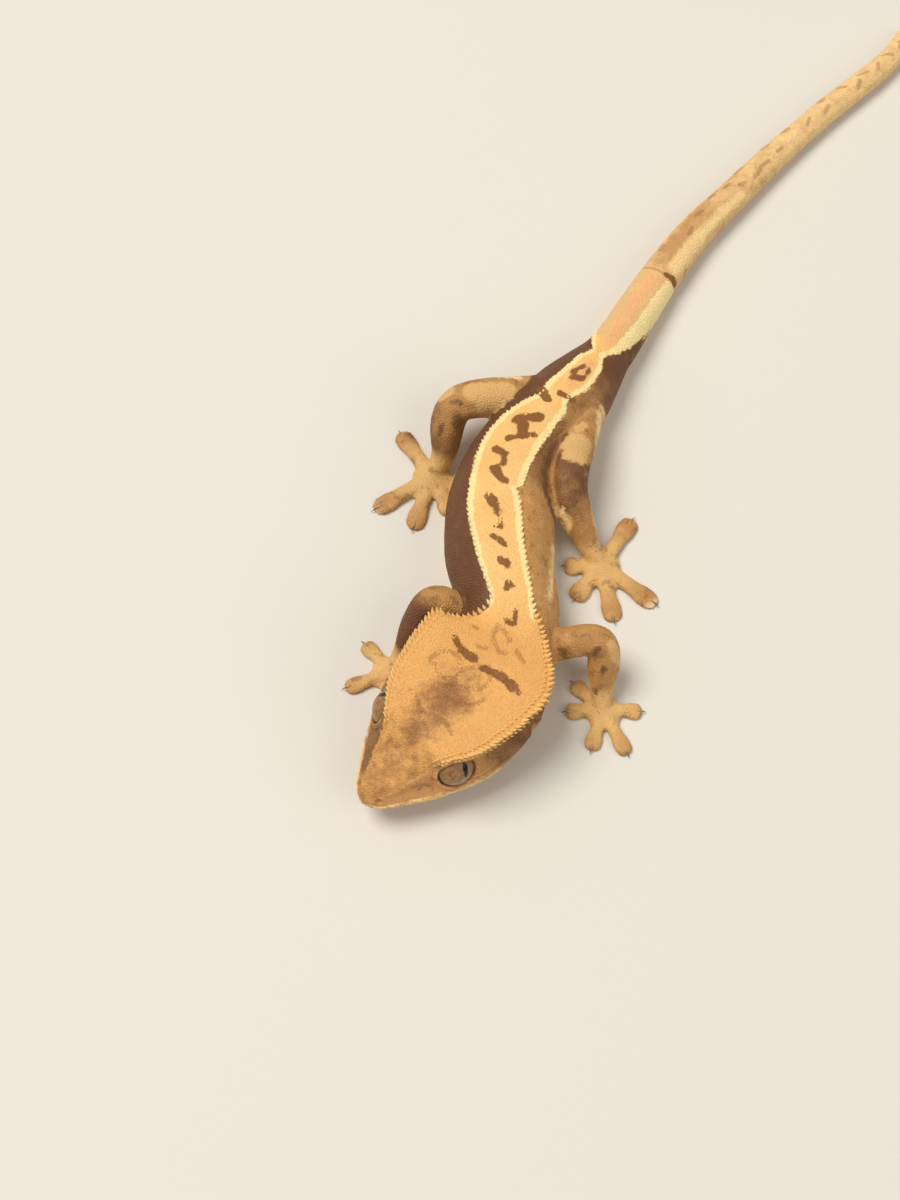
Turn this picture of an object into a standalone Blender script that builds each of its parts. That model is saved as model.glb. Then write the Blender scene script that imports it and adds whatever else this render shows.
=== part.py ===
# A crested gecko at life size, lying on a flat floor with its head turned to its own right.
# Lengths here are in millimetres; the meshes are made in metres, +Z up, with the floor at z = 0.
import math
import random

import bmesh
import bpy
from mathutils import Matrix, Vector

MM = 0.001
GAP = 0.3  # between neighbouring parts
UP = Vector((0, 0, 1))

# The spine seen from above, from the snout tip to the tail tip (x, y).
SPINE = [
    (-12.2, -29.2), (-4.0, -20.7), (4.1, -11.8), (7.5, -6.8), (8.5, -1.6), (7.9, 3.0),
    (7.3, 8.0), (7.4, 14.0), (8.4, 20.3), (10.9, 25.8), (15.0, 31.0), (20.1, 37.3),
    (25.2, 44.3), (29.3, 51.2), (33.7, 58.5), (39.2, 66.4), (45.3, 73.2), (51.3, 79.8),
    (57.2, 85.9), (63.0, 91.6), (68.0, 96.1), (72.4, 100.1), (76.0, 104.3), (78.6, 109.2),
]

# Where the trunk is parted, as distances behind the snout tip.
TRUNK_PARTS = {
    "head": (0.0, 28.6),
    "neck": (28.6, 34.4),
    "torso_front": (34.4, 57.0),
    "torso_rear": (57.0, 84.5),
    "tail_base": (84.5, 103.5),
    "tail_middle": (103.5, 137.0),
    "tail_tip": (137.0, None),
}

# Lines along the head, each as (distance behind the snout tip, value). Five of them run along
# either side: the crest, the temple below it, the lip, the jaw's lower edge, and the chin.
HEAD_TOP = [(0, 5.1), (0.4, 6.3), (1.5, 7.1), (4, 7.9), (8, 9.5), (12, 11.3), (16, 11.9), (21, 12.2),
            (26, 12.4)]
CREST_OUT = [(0, 0), (0.4, 0.8), (1.5, 1.5), (4, 2.5), (8, 3.9), (11, 5.6), (14, 7.7), (18, 9.0), (22, 9.7),
             (25.5, 9.9), (27.5, 8.9), (29.5, 6.7), (32, 4.7), (35, 3.6)]
CREST_UP = [(0, 5.1), (0.4, 6.1), (1.5, 6.8), (4, 7.7), (8, 9.6), (11, 11.5), (14, 12.2), (18, 12.4),
            (26, 12.7)]
TEMPLE_OUT = [(0, 0), (0.4, 1.0), (1.5, 2.0), (4, 3.3), (8, 5.2), (12, 6.8), (16, 8.2), (20, 9.0), (25, 9.1)]
TEMPLE_UP = [(0, 5.1), (0.4, 5.8), (1.5, 6.3), (4, 6.8), (8, 7.5), (12, 8.2), (16, 8.8), (20, 9.0), (25, 8.9)]
LIP_OUT = [(0, 0), (0.4, 1.1), (1.5, 2.4), (4, 4.2), (7, 6.2), (10, 7.8), (13, 9.3), (16, 10.3), (20, 10.8),
           (24, 10.4), (27, 9.3)]
LIP_UP = [(0, 5.1), (4, 4.9), (10, 4.6), (14, 4.9), (18, 5.8), (22, 6.3), (27, 6.2)]
JAW_OUT = [(0, 0), (0.4, 0.8), (1.5, 1.8), (4, 3.1), (10, 5.6), (16, 7.2), (22, 7.4), (27, 6.7)]
JAW_UP = [(0, 5.1), (0.4, 4.4), (1.5, 4.0), (4, 3.6), (10, 3.3), (16, 3.5), (22, 3.3), (27, 2.3)]
CHIN_UP = [(0, 5.1), (0.4, 4.1), (1.5, 3.6), (4, 3.2), (10, 2.9), (16, 2.8), (22, 2.4), (27, 1.3), (32, 0.2),
           (36, -0.3)]

# The body and tail: (distance behind the snout tip, half the width, height).
BODY = [
    (30.5, 7.8, 12.3), (35, 7.2, 12.5), (40, 7.4, 12.8), (46, 8.0, 13.2), (52, 8.0, 13.2),
    (58, 7.2, 12.6), (64, 6.6, 11.7), (70, 6.5, 10.8), (76, 6.1, 9.7), (81, 5.0, 8.5),
    (86, 3.8, 7.3), (94, 3.45, 6.3), (103, 3.2, 5.5), (113, 2.9, 5.0), (122, 2.65, 4.6),
    (132, 2.4, 4.3), (142, 2.2, 4.0), (154, 2.1, 3.8), (163, 1.95, 3.5),
]
TAIL_END = [(168.5, 1.6, 2.9), (172.0, 1.0, 2.2)]
CREST_SHARE = 0.5  # of the half width, at mid body
CREST_DROP = 0.45  # the crest lies this far under the middle of the back
FLANK_OUT, FLANK_UP = 0.86, 0.74
SIDE_UP = 0.45
BELLY_OUT, BELLY_UP = 0.74, 0.10
BELLY_SINK = 0.3  # how far the belly would pass the floor, which makes its flats

# Mouth, eyes, ears and nostrils.
MOUTH_CORNER = 18.5
MOUTH_DEPTH = 0.5
MOUTH_HALF_GAP = 0.13  # as a share of one step round the ring
EYE = {"back": 12.2, "out": 5.6, "up": 7.7, "radius": 3.05, "forward_deg": 26, "raise_deg": 26}
RIM = {"radius": 2.95, "thick": 0.5, "out": 1.45, "lobe": 0.7}
EAR = {"back": 23.6, "up": 6.6, "long": 1.3, "tall": 0.75, "lean_deg": 35}
NOSTRIL = {"back": 1.6, "out": 1.9, "up": 6.45, "radius": 0.4}

# The crest: rows of small spines from above each eye to the tail's root, as
# (distance behind the snout tip, length, spacing).
SPINE_ROW = [(9.8, 0.8, 1.3), (13, 1.25, 1.3), (17, 1.4, 1.4), (26, 1.4, 1.4), (34, 1.15, 1.6),
             (52, 0.9, 1.9), (83, 0.5, 2.6)]
SPINE_BASE = 0.45  # radius at the root
SPINE_SINK = 0.5  # how far the root sinks below the skin
SPINE_ROOM = 0.75  # kept free of spines beside a parting

# Limbs: joint centres from the root inside the body to the wrist or ankle, with radii there and
# half way between. "palm" is the middle of the sole.
LIMBS = {
    "left_arm": {
        "parts": ("left_upper_arm", "left_forearm", "left_hand"),
        "joints": [(12.0, -6.8, 6.2), (20.9, -6.5, 8.2), (21.7, -10.9, 3.2)],
        "radii": [2.7, 2.3, 2.35, 2.35, 1.9],
        "palm": (21.8, -13.9),
    },
    "right_arm": {
        "parts": ("right_upper_arm", "right_forearm", "right_hand"),
        "joints": [(3.4, -1.6, 6.0), (-2.6, -0.6, 8.4), (-6.3, -5.7, 3.2)],
        "radii": [2.7, 2.3, 2.35, 2.35, 1.9],
        "palm": (-8.4, -8.2),
    },
    "left_leg": {
        "parts": ("left_thigh", "left_shin", "left_foot"),
        "joints": [(20.2, 32.6, 5.6), (17.5, 18.6, 7.9), (20.1, 12.1, 3.1)],
        "radii": [3.3, 3.2, 2.8, 2.6, 1.95],
        "palm": (22.4, 8.7),
    },
    "right_leg": {
        "parts": ("right_thigh", "right_shin", "right_foot"),
        "joints": [(13.6, 34.6, 5.8), (1.4, 32.0, 8.0), (-1.0, 26.2, 3.1)],
        "radii": [3.3, 3.1, 2.8, 2.6, 1.95],
        "palm": (-2.8, 23.4),
    },
}

# Digits, from the thumb out: (direction in degrees, length from the middle of the palm).
DIGITS = {
    "left_arm": [(135, 5.8), (-176, 5.2), (-106, 6.4), (-63, 7.6), (-3, 5.8)],
    "right_arm": [(-28, 5.2), (-64, 5.8), (-97, 6.6), (-160, 7.2), (133, 6.2)],
    "left_leg": [(180, 5.4), (-127, 6.8), (-79, 9.1), (-38, 10.2), (56, 9.3)],
    "right_leg": [(-20, 5.2), (-64, 6.8), (-108, 9.1), (-148, 10.2), (122, 9.3)],
}
PALM = {"arm": {"radius": 2.5, "height": 2.0}, "leg": {"radius": 2.9, "height": 2.2}}
PAD = {"arm": 1.3, "leg": 1.55}  # half the width of a toe pad
CLAW = {"length": 1.1, "radius": 0.27}

COLOURS = {
    "skin": (0.50, 0.27, 0.10),
    "tail": (0.66, 0.42, 0.17),
    "eye": (0.16, 0.10, 0.06),
}


# Curves through given values.
def smooth_at(line, s):
    # A cubic through (s, value) pairs that keeps to the range between neighbours.
    if s <= line[0][0]:
        return line[0][1]
    if s >= line[-1][0]:
        return line[-1][1]
    i = max(k for k in range(len(line) - 1) if line[k][0] <= s)

    def slope(k):
        if k < 0 or k >= len(line) - 1:
            return None
        return (line[k + 1][1] - line[k][1]) / (line[k + 1][0] - line[k][0])

    def bend(k):
        before, after = slope(k - 1), slope(k)
        if before is None:
            return after
        if after is None:
            return before
        return 0.0 if before * after <= 0 else 2 * before * after / (before + after)

    (s0, a), (s1, b) = line[i], line[i + 1]
    width = s1 - s0
    t = (s - s0) / width
    ends = a * (1 + 2 * t) * (1 - t) ** 2 + b * t * t * (3 - 2 * t)
    return ends + width * t * (1 - t) * (bend(i) * (1 - t) - bend(i + 1) * t)


def rounded(a, b, c, d, t):
    # A point between b and c on the curve through a, b, c and d.
    return 0.5 * (2 * b + (c - a) * t + (2 * a - 5 * b + 4 * c - d) * t * t + (3 * b - a - 3 * c + d) * t ** 3)


class Route:
    # A smooth line through points, read by the distance along it.
    def __init__(self, points, steps=24):
        points = [Vector(p) for p in points]
        ends = [2 * points[0] - points[1], *points, 2 * points[-1] - points[-2]]
        self.points = [points[0]]
        for i in range(len(points) - 1):
            self.points += [rounded(*ends[i:i + 4], (k + 1) / steps) for k in range(steps)]
        self.reach = [0.0]
        for a, b in zip(self.points, self.points[1:]):
            self.reach.append(self.reach[-1] + (b - a).length)
        self.length = self.reach[-1]
        self.joints = [self.reach[i * steps] for i in range(len(points))]

    def at(self, s):
        s = min(max(s, 0.0), self.length)
        i = next((k for k in range(1, len(self.reach)) if self.reach[k] >= s), len(self.reach) - 1)
        share = (s - self.reach[i - 1]) / (self.reach[i] - self.reach[i - 1])
        return self.points[i - 1].lerp(self.points[i], share)

    def heading(self, s, reach=0.6):
        return (self.at(s + reach) - self.at(s - reach)).normalized()


spine = Route([(x, y, 0) for x, y in SPINE])


# The trunk: head, neck, torso and tail are lengths of one surface.
def body_line(share, drop=0.0):
    return [(s, share * half - drop) for s, half, height in BODY + TAIL_END]


def body_height(share, drop=0.0):
    return [(s, share * height - drop) for s, half, height in BODY + TAIL_END]


def from_here(line, s):
    return [pair for pair in line if pair[0] > s]


TRUNK = {
    "top": HEAD_TOP + body_height(1.0),
    "crest_out": CREST_OUT + from_here(body_line(CREST_SHARE), 38),
    "crest_up": CREST_UP + body_height(1.0, CREST_DROP),
    "temple_out": TEMPLE_OUT + body_line(FLANK_OUT),
    "temple_up": TEMPLE_UP + body_height(FLANK_UP),
    "lip_out": LIP_OUT + body_line(1.0),
    "lip_up": LIP_UP + body_height(SIDE_UP),
    "jaw_out": JAW_OUT + body_line(BELLY_OUT),
    "jaw_up": JAW_UP + body_height(BELLY_UP),
    "chin_up": CHIN_UP + [(spine.length, -BELLY_SINK)],
}


def trunk_frame(s):
    back = spine.heading(s)
    return spine.at(s), back, back.cross(UP)


def trunk_point(s, turn, swell=0.0):
    # turn runs from 0 on the back over the left side to 5 underneath, and on to 10 over the right.
    line = {name: smooth_at(pairs, s) for name, pairs in TRUNK.items()}
    half = [(line[side + "_out"], line[side + "_up"]) for side in ("crest", "temple", "lip", "jaw")]
    ring = [(0.0, line["top"]), *half, (0.0, line["chin_up"]), *[(-out, up) for out, up in reversed(half)]]
    ring = [Vector(pair) for pair in ring]
    whole, t = int(turn) % 10, turn % 1.0
    near = [ring[(whole + k) % 10] for k in (-1, 0, 1, 2)]
    flat = rounded(*near, t)
    ahead = rounded(*near, min(t + 0.02, 1.0)) - rounded(*near, max(t - 0.02, 0.0))
    if ahead.length > 1e-6:
        ahead.normalize()
        depth = swell - mouth_depth(s, turn, line["lip_out"])
        flat += depth * Vector((-ahead.y, ahead.x))
    centre, back, left = trunk_frame(s)
    point = centre + flat.x * left + flat.y * UP
    point.z = max(point.z, 0.0 if swell == 0.0 else -1.0)
    return point


def mouth_depth(s, turn, width):
    from_line = abs(min(turn, 10 - turn) - 3.0)
    if s > MOUTH_CORNER or from_line > 0.01:
        return 0.0
    fade = min(1.0, (MOUTH_CORNER - s) / 2.0)
    return MOUTH_DEPTH * fade * min(1.0, width / 3.0)


HEAD_TURNS = [0, 0.4, 0.75, 1, 1.3, 1.7, 2.1, 2.5, 3 - MOUTH_HALF_GAP, 3, 3 + MOUTH_HALF_GAP, 3.5, 4, 4.5]
BODY_TURNS = [0, 0.5, 1, 1.35, 1.75, 2.2, 2.7, 3.3, 3.8, 4.2, 4.6]
TAIL_TURNS = [0, 0.7, 1.2, 1.9, 2.7, 3.4, 4.0, 4.5]


def both_sides(turns):
    return turns + [5] + [10 - t for t in reversed(turns[1:])]


def spread(start, end, step):
    count = max(1, round((end - start) / step))
    return [start + (end - start) * k / count for k in range(count + 1)]


# Meshes.
def new_object(name, bm, material):
    bmesh.ops.recalc_face_normals(bm, faces=bm.faces)
    mesh = bpy.data.meshes.new(name)
    bm.to_mesh(mesh)
    bm.free()
    if material:
        mesh.materials.append(material)
    mesh.shade_smooth()
    made = bpy.data.objects.new(name, mesh)
    bpy.context.scene.collection.objects.link(made)
    return made


def loft(name, rings, material=None, start=None, end=None):
    # rings of equal count, closed by a point (start, end) or by a flat face.
    bm = bmesh.new()
    made = [[bm.verts.new(p * MM) for p in ring] for ring in rings]
    count = len(rings[0])
    for a, b in zip(made, made[1:]):
        for k in range(count):
            bm.faces.new((a[k], a[(k + 1) % count], b[(k + 1) % count], b[k]))
    for ring, tip in ((made[0], start), (made[-1], end)):
        if tip is None:
            bm.faces.new(ring)
            continue
        apex = bm.verts.new(tip * MM)
        for k in range(count):
            bm.faces.new((ring[k], ring[(k + 1) % count], apex))
    return new_object(name, bm, material)


def replace_mesh(target):
    # Swaps the mesh for its evaluated self and drops the modifiers.
    bpy.context.view_layer.update()
    graph = bpy.context.evaluated_depsgraph_get()
    made = bpy.data.meshes.new_from_object(target.evaluated_get(graph))
    target.modifiers.clear()
    old = target.data
    target.data = made
    bpy.data.meshes.remove(old)


def keep_largest(target):
    # Leaves only the biggest closed surface of the mesh.
    bm = bmesh.new()
    bm.from_mesh(target.data)
    left, shells = set(bm.verts), []
    while left:
        shell, edge = set(), [left.pop()]
        while edge:
            vertex = edge.pop()
            shell.add(vertex)
            near = {e.other_vert(vertex) for e in vertex.link_edges} & left
            left -= near
            edge += near
        shells.append(shell)
    largest = max(shells, key=span)
    loose = [v for shell in shells if shell is not largest for v in shell]
    bmesh.ops.delete(bm, geom=loose, context="VERTS")
    bm.to_mesh(target.data)
    bm.free()
    target.data.shade_smooth()


def span(vertices):
    return sum(max(v.co[k] for v in vertices) - min(v.co[k] for v in vertices) for k in range(3))


def combine(target, pieces, operation):
    # One Boolean of the target with a collection of closed pieces, which it uses up.
    group = bpy.data.collections.new("pieces")
    bpy.context.scene.collection.children.link(group)
    for piece in pieces:
        bpy.context.scene.collection.objects.unlink(piece)
        group.objects.link(piece)
    cut = target.modifiers.new("combine", "BOOLEAN")
    cut.operation = operation
    cut.operand_type = "COLLECTION"
    cut.collection = group
    cut.solver = "EXACT"
    replace_mesh(target)
    for piece in pieces:
        bpy.data.objects.remove(piece)
    bpy.data.collections.remove(group)
    keep_largest(target)


def ball(name, centre, size, lean_deg=0.0, yaw=0.0, fine=2):
    # An egg-shaped cutter: size is its three half lengths.
    bm = bmesh.new()
    bmesh.ops.create_icosphere(bm, subdivisions=fine, radius=1.0)
    turn = Matrix.Rotation(yaw, 3, "Z") @ Matrix.Rotation(math.radians(-lean_deg), 3, "Y")
    for vertex in bm.verts:
        vertex.co = (turn @ (vertex.co * Vector(size)) + centre) * MM
    return new_object(name, bm, None)


# The head's own details.
def head_point(back, out, up):
    centre, _, left = trunk_frame(back)
    return centre + out * left + up * UP


def eye_axis(side):
    _, back, left = trunk_frame(EYE["back"])
    turned, raised = math.radians(EYE["forward_deg"]), math.radians(EYE["raise_deg"])
    level = side * math.cos(turned) * left - math.sin(turned) * back
    return math.cos(raised) * level + math.sin(raised) * UP


def eye_ball(name, side, radius, material=None):
    bm = bmesh.new()
    bmesh.ops.create_uvsphere(bm, u_segments=20, v_segments=12, radius=radius * MM)
    centre = head_point(EYE["back"], side * EYE["out"], EYE["up"])
    turn = UP.rotation_difference(eye_axis(side)).to_matrix()
    for vertex in bm.verts:
        vertex.co = turn @ vertex.co + centre * MM
    return new_object(name, bm, material)


def eye_rim(side):
    # A ring of lid round the eye.
    axis = eye_axis(side)
    across = UP.cross(axis).normalized()
    over = axis.cross(across)
    centre = head_point(EYE["back"], side * EYE["out"], EYE["up"]) + RIM["out"] * axis
    bm = bmesh.new()
    rings = []
    for i in range(18):
        round_eye = math.tau * i / 18
        out = math.cos(round_eye) * across + math.sin(round_eye) * over
        middle = centre + RIM["radius"] * out
        ring = []
        for k in range(6):
            tube = math.tau * k / 6
            ring.append(bm.verts.new((middle + RIM["thick"] * (math.cos(tube) * out + math.sin(tube) * axis)) * MM))
        rings.append(ring)
    for i in range(18):
        a, b = rings[i], rings[(i + 1) % 18]
        for k in range(6):
            bm.faces.new((a[k], a[(k + 1) % 6], b[(k + 1) % 6], b[k]))
    return new_object("rim", bm, None)


def eye_lobe(side):
    # The flesh that swells behind each eye's rim, cut off at the rim.
    lobe = eye_ball("lobe", side, EYE["radius"] + RIM["lobe"])
    axis = eye_axis(side)
    centre = head_point(EYE["back"], side * EYE["out"], EYE["up"])
    for vertex in lobe.data.vertices:
        ahead = (vertex.co / MM - centre).dot(axis) - RIM["out"]
        if ahead > 0:
            vertex.co -= ahead * axis * MM
    return lobe


def head_cutters():
    cutters = []
    heading = math.atan2(trunk_frame(EAR["back"])[1].y, trunk_frame(EAR["back"])[1].x)
    for side in (1, -1):
        cutters.append(eye_ball("orbit", side, EYE["radius"] + GAP))
        out = smooth_at(TRUNK["lip_out"], EAR["back"])
        ear = head_point(EAR["back"], side * out, EAR["up"])
        cutters.append(ball("ear", ear, (EAR["long"], 1.2, EAR["tall"]), EAR["lean_deg"], heading, 2))
        nostril = head_point(NOSTRIL["back"], side * NOSTRIL["out"], NOSTRIL["up"])
        cutters.append(ball("nostril", nostril, (NOSTRIL["radius"],) * 3, fine=1))
    return cutters


# The crest.
def crest_places(start, end):
    # Distances behind the snout tip for the spines of one row between two partings.
    places, s = [], SPINE_ROW[0][0]
    while s < SPINE_ROW[-1][0]:
        if start + SPINE_ROOM < s < end - SPINE_ROOM:
            places.append(s)
        ahead = (trunk_point(s + 0.2, 1) - trunk_point(s, 1)).length / 0.2
        s += smooth_at([(a, gap) for a, _, gap in SPINE_ROW], s) / max(ahead, 0.5)
    return places


def crest_spine(s, side, chance):
    # A five-sided cone on the crest line, leaning out, up and a little back.
    turn = 1 if side > 0 else 9
    root = trunk_point(s, turn)
    along = (trunk_point(s + 0.3, turn) - trunk_point(s - 0.3, turn)).normalized()
    out = (trunk_point(s, turn, 1.0) - root).normalized()
    length = smooth_at([(a, size) for a, size, _ in SPINE_ROW], s) * chance.uniform(0.88, 1.12)
    lean = (out + 0.25 * along + 0.1 * chance.uniform(-1, 1) * along).normalized()
    across = lean.cross(along).normalized()
    ring = []
    for k in range(5):
        angle = math.tau * k / 5
        ring.append(root - SPINE_SINK * out + SPINE_BASE * (math.cos(angle) * along + math.sin(angle) * across))
    return loft("spine", [ring], end=root + length * lean)


def crest(start, end):
    chance = random.Random(7)
    return [crest_spine(s, side, chance) for side in (1, -1) for s in crest_places(start, end)]


# The trunk's parts.
def trunk_rings(start, end, step, turns, swell=0.0):
    last = spine.length if end is None else end
    rings = [[trunk_point(s, turn, swell) for turn in both_sides(turns)] for s in spread(start, last, step)]
    half = GAP / 2
    if start > 0:
        rings[0] = [p + half * trunk_frame(start)[1] for p in rings[0]]
    if end is not None:
        rings[-1] = [p - half * trunk_frame(end)[1] for p in rings[-1]]
    return rings


def make_head(materials):
    start, end = TRUNK_PARTS["head"]
    places = [0.25, 0.8, 1.6, 2.6, 3.8] + spread(5.2, end, 1.35)
    rings = [[trunk_point(s, turn) for turn in both_sides(HEAD_TURNS)] for s in places]
    rings[-1] = [p - GAP / 2 * trunk_frame(end)[1] for p in rings[-1]]
    head = loft("head", rings, materials["skin"], start=trunk_point(0.0, 3))
    lids = [made(side) for side in (1, -1) for made in (eye_lobe, eye_rim)]
    combine(head, lids + crest(start, end), "UNION")
    combine(head, head_cutters(), "DIFFERENCE")
    for side, name in ((1, "eye_left"), (-1, "eye_right")):
        eye_ball(name, side, EYE["radius"], materials["eye"])


def make_body(materials):
    steps = {"neck": 1.5, "torso_front": 2.6, "torso_rear": 2.7}
    for name, step in steps.items():
        start, end = TRUNK_PARTS[name]
        part = loft(name, trunk_rings(start, end, step, BODY_TURNS), materials["skin"])
        pieces = crest(start, end)
        if pieces:
            combine(part, pieces, "UNION")


def make_tail(materials):
    steps = {"tail_base": 3.2, "tail_middle": 4.2, "tail_tip": 4.0}
    for name, step in steps.items():
        start, end = TRUNK_PARTS[name]
        tip = spine.at(spine.length) + spine.heading(spine.length) * 0.9 + 1.0 * UP if end is None else None
        loft(name, trunk_rings(start, end, step, TAIL_TURNS), materials["tail"], end=tip)


# Limbs.
def tube_frames(route, places):
    # Two directions across the route at each place, carried along without twist.
    across = route.heading(places[0]).cross(UP).normalized()
    frames = []
    for s in places:
        ahead = route.heading(s)
        across = (across - across.dot(ahead) * ahead).normalized()
        frames.append((across, ahead.cross(across)))
    return frames


def limb_rings(route, radii, start, end, sides=10, step=1.7):
    marks = [route.joints[0], None, route.joints[1], None, route.joints[2]]
    marks[1], marks[3] = (marks[0] + marks[2]) / 2, (marks[2] + marks[4]) / 2
    line = list(zip(marks, radii))
    places = spread(start, end, step)
    rings = []
    for s, (across, over) in zip(places, tube_frames(route, places)):
        radius = smooth_at(line, s)
        turns = [math.tau * k / sides for k in range(sides)]
        ring = [route.at(s) + radius * (math.cos(a) * across + math.sin(a) * over) for a in turns]
        rings.append([Vector((p.x, p.y, max(p.z, 0.0))) for p in ring])
    return rings


def limb_route(limb):
    palm = Vector((*limb["palm"], 1.1))
    return Route([Vector(p) for p in limb["joints"]] + [palm])


def make_limb_parts(limb, material):
    route = limb_route(limb)
    half = GAP / 2
    elbow, wrist = route.joints[1], route.joints[2]
    upper, lower, _ = limb["parts"]
    rings = limb_rings(route, limb["radii"], 0.0, elbow)
    rings[-1] = [p - half * route.heading(elbow) for p in rings[-1]]
    made = [loft(upper, rings, material)]
    rings = limb_rings(route, limb["radii"], elbow, wrist)
    rings[0] = [p + half * route.heading(elbow) for p in rings[0]]
    rings[-1] = [p - half * route.heading(wrist) for p in rings[-1]]
    made.append(loft(lower, rings, material))
    for part in made:
        clear = loft("clearance", trunk_rings(18.0, 92.0, 1.6, BODY_TURNS, GAP + 0.02))
        combine(part, [clear], "DIFFERENCE")


def sole_ring(centre, across, half_width, height):
    # A section with a flat sole: bottom corners, sides, shoulders and top.
    shape = [(-0.8, 0.0), (0.8, 0.0), (1.0, 0.35), (0.62, 0.86), (0.0, 1.0), (-0.62, 0.86), (-1.0, 0.35)]
    return [centre + half_width * u * across + height * h * UP for u, h in shape]


def digit(palm, direction_deg, length, pad):
    angle = math.radians(direction_deg)
    ahead = Vector((math.cos(angle), math.sin(angle), 0))
    across = ahead.cross(UP)
    # (share of the length, half the width, height)
    shape = [
        (0.1, pad, 1.7), (0.4, pad * 0.78, 1.5), (0.58, pad * 0.8, 1.25), (0.74, pad, 1.05),
        (0.89, pad * 0.96, 0.95), (0.975, pad * 0.6, 0.8),
    ]
    rings = [sole_ring(palm + share * length * ahead, across, half, tall) for share, half, tall in shape]
    toe = loft("digit", rings, end=palm + length * ahead + 0.35 * UP)
    root = palm + 0.9 * length * ahead + 0.55 * UP
    claw_ring = []
    for k in range(5):
        a = math.tau * k / 5
        claw_ring.append(root + CLAW["radius"] * (math.cos(a) * across + math.sin(a) * UP))
    tip = palm + (length + CLAW["length"] * 0.6) * ahead + 0.2 * UP
    return [toe, loft("claw", [claw_ring], end=tip)]


def palm_dome(palm, radius, height):
    rings = []
    for share, up in ((1.0, 0.0), (1.04, 0.35), (0.8, 0.8)):
        turns = [math.tau * k / 12 for k in range(12)]
        rings.append([palm + radius * share * Vector((math.cos(a), math.sin(a), 0)) + up * height * UP for a in turns])
    return loft("palm", rings, end=palm + height * UP)


def make_hand(name, limb, material):
    route = limb_route(limb)
    wrist = route.joints[2]
    rings = limb_rings(route, limb["radii"], wrist, route.length, step=1.2)
    rings[0] = [p + GAP / 2 * route.heading(wrist) for p in rings[0]]
    hand = loft(limb["parts"][2], rings, material)
    kind = name.split("_")[1]
    palm = Vector((*limb["palm"], 0))
    pieces = [palm_dome(palm, **PALM[kind])]
    for direction, length in DIGITS[name]:
        pieces += digit(palm, direction, length, PAD[kind])
    combine(hand, pieces, "UNION")


# Finish.
def make_materials():
    made = {}
    for name, colour in COLOURS.items():
        material = bpy.data.materials.new("gecko_" + name)
        material.use_nodes = True
        shader = material.node_tree.nodes["Principled BSDF"]
        shader.inputs["Base Color"].default_value = (*colour, 1)
        shader.inputs["Roughness"].default_value = 0.15 if name == "eye" else 0.6
        shader.inputs["Metallic"].default_value = 0.0
        made[name] = material
    return made


def centre_on_footprint(objects):
    corners = [o.matrix_world @ v.co for o in objects for v in o.data.vertices]
    middle = [(min(c[k] for c in corners) + max(c[k] for c in corners)) / 2 for k in (0, 1)]
    for made in objects:
        for vertex in made.data.vertices:
            vertex.co.x -= middle[0]
            vertex.co.y -= middle[1]


def main():
    for old in list(bpy.data.objects):
        bpy.data.objects.remove(old)
    materials = make_materials()
    make_head(materials)
    make_body(materials)
    make_tail(materials)
    for name, limb in LIMBS.items():
        make_limb_parts(limb, materials["skin"])
        make_hand(name, limb, materials["skin"])
    gecko = bpy.data.collections.new("crested_gecko")
    bpy.context.scene.collection.children.link(gecko)
    parts = [o for o in bpy.context.scene.collection.objects if o.type == "MESH"]
    for part in parts:
        bpy.context.scene.collection.objects.unlink(part)
        gecko.objects.link(part)
    centre_on_footprint(parts)


main()
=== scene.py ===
import math
import random

import bmesh
import bpy
import numpy as np
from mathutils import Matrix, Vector


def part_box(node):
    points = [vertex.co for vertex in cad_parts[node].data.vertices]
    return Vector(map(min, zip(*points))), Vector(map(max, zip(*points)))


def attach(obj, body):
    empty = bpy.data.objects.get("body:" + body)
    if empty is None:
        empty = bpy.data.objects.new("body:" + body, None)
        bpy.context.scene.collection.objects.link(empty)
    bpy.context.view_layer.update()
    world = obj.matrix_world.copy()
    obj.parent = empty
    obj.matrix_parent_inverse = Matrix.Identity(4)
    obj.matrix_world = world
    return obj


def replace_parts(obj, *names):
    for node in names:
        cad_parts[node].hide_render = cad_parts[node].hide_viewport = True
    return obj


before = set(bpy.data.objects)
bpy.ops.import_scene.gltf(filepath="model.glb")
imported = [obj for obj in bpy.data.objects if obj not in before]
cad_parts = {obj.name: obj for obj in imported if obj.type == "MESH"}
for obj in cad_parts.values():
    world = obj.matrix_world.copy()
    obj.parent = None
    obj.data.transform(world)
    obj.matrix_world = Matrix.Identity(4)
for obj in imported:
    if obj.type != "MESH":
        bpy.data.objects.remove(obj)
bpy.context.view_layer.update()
print("frame loaded:", len(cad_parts), "nodes")

mm = 0.001  # sizes below are in millimetres, in the gecko's own layout

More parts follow.
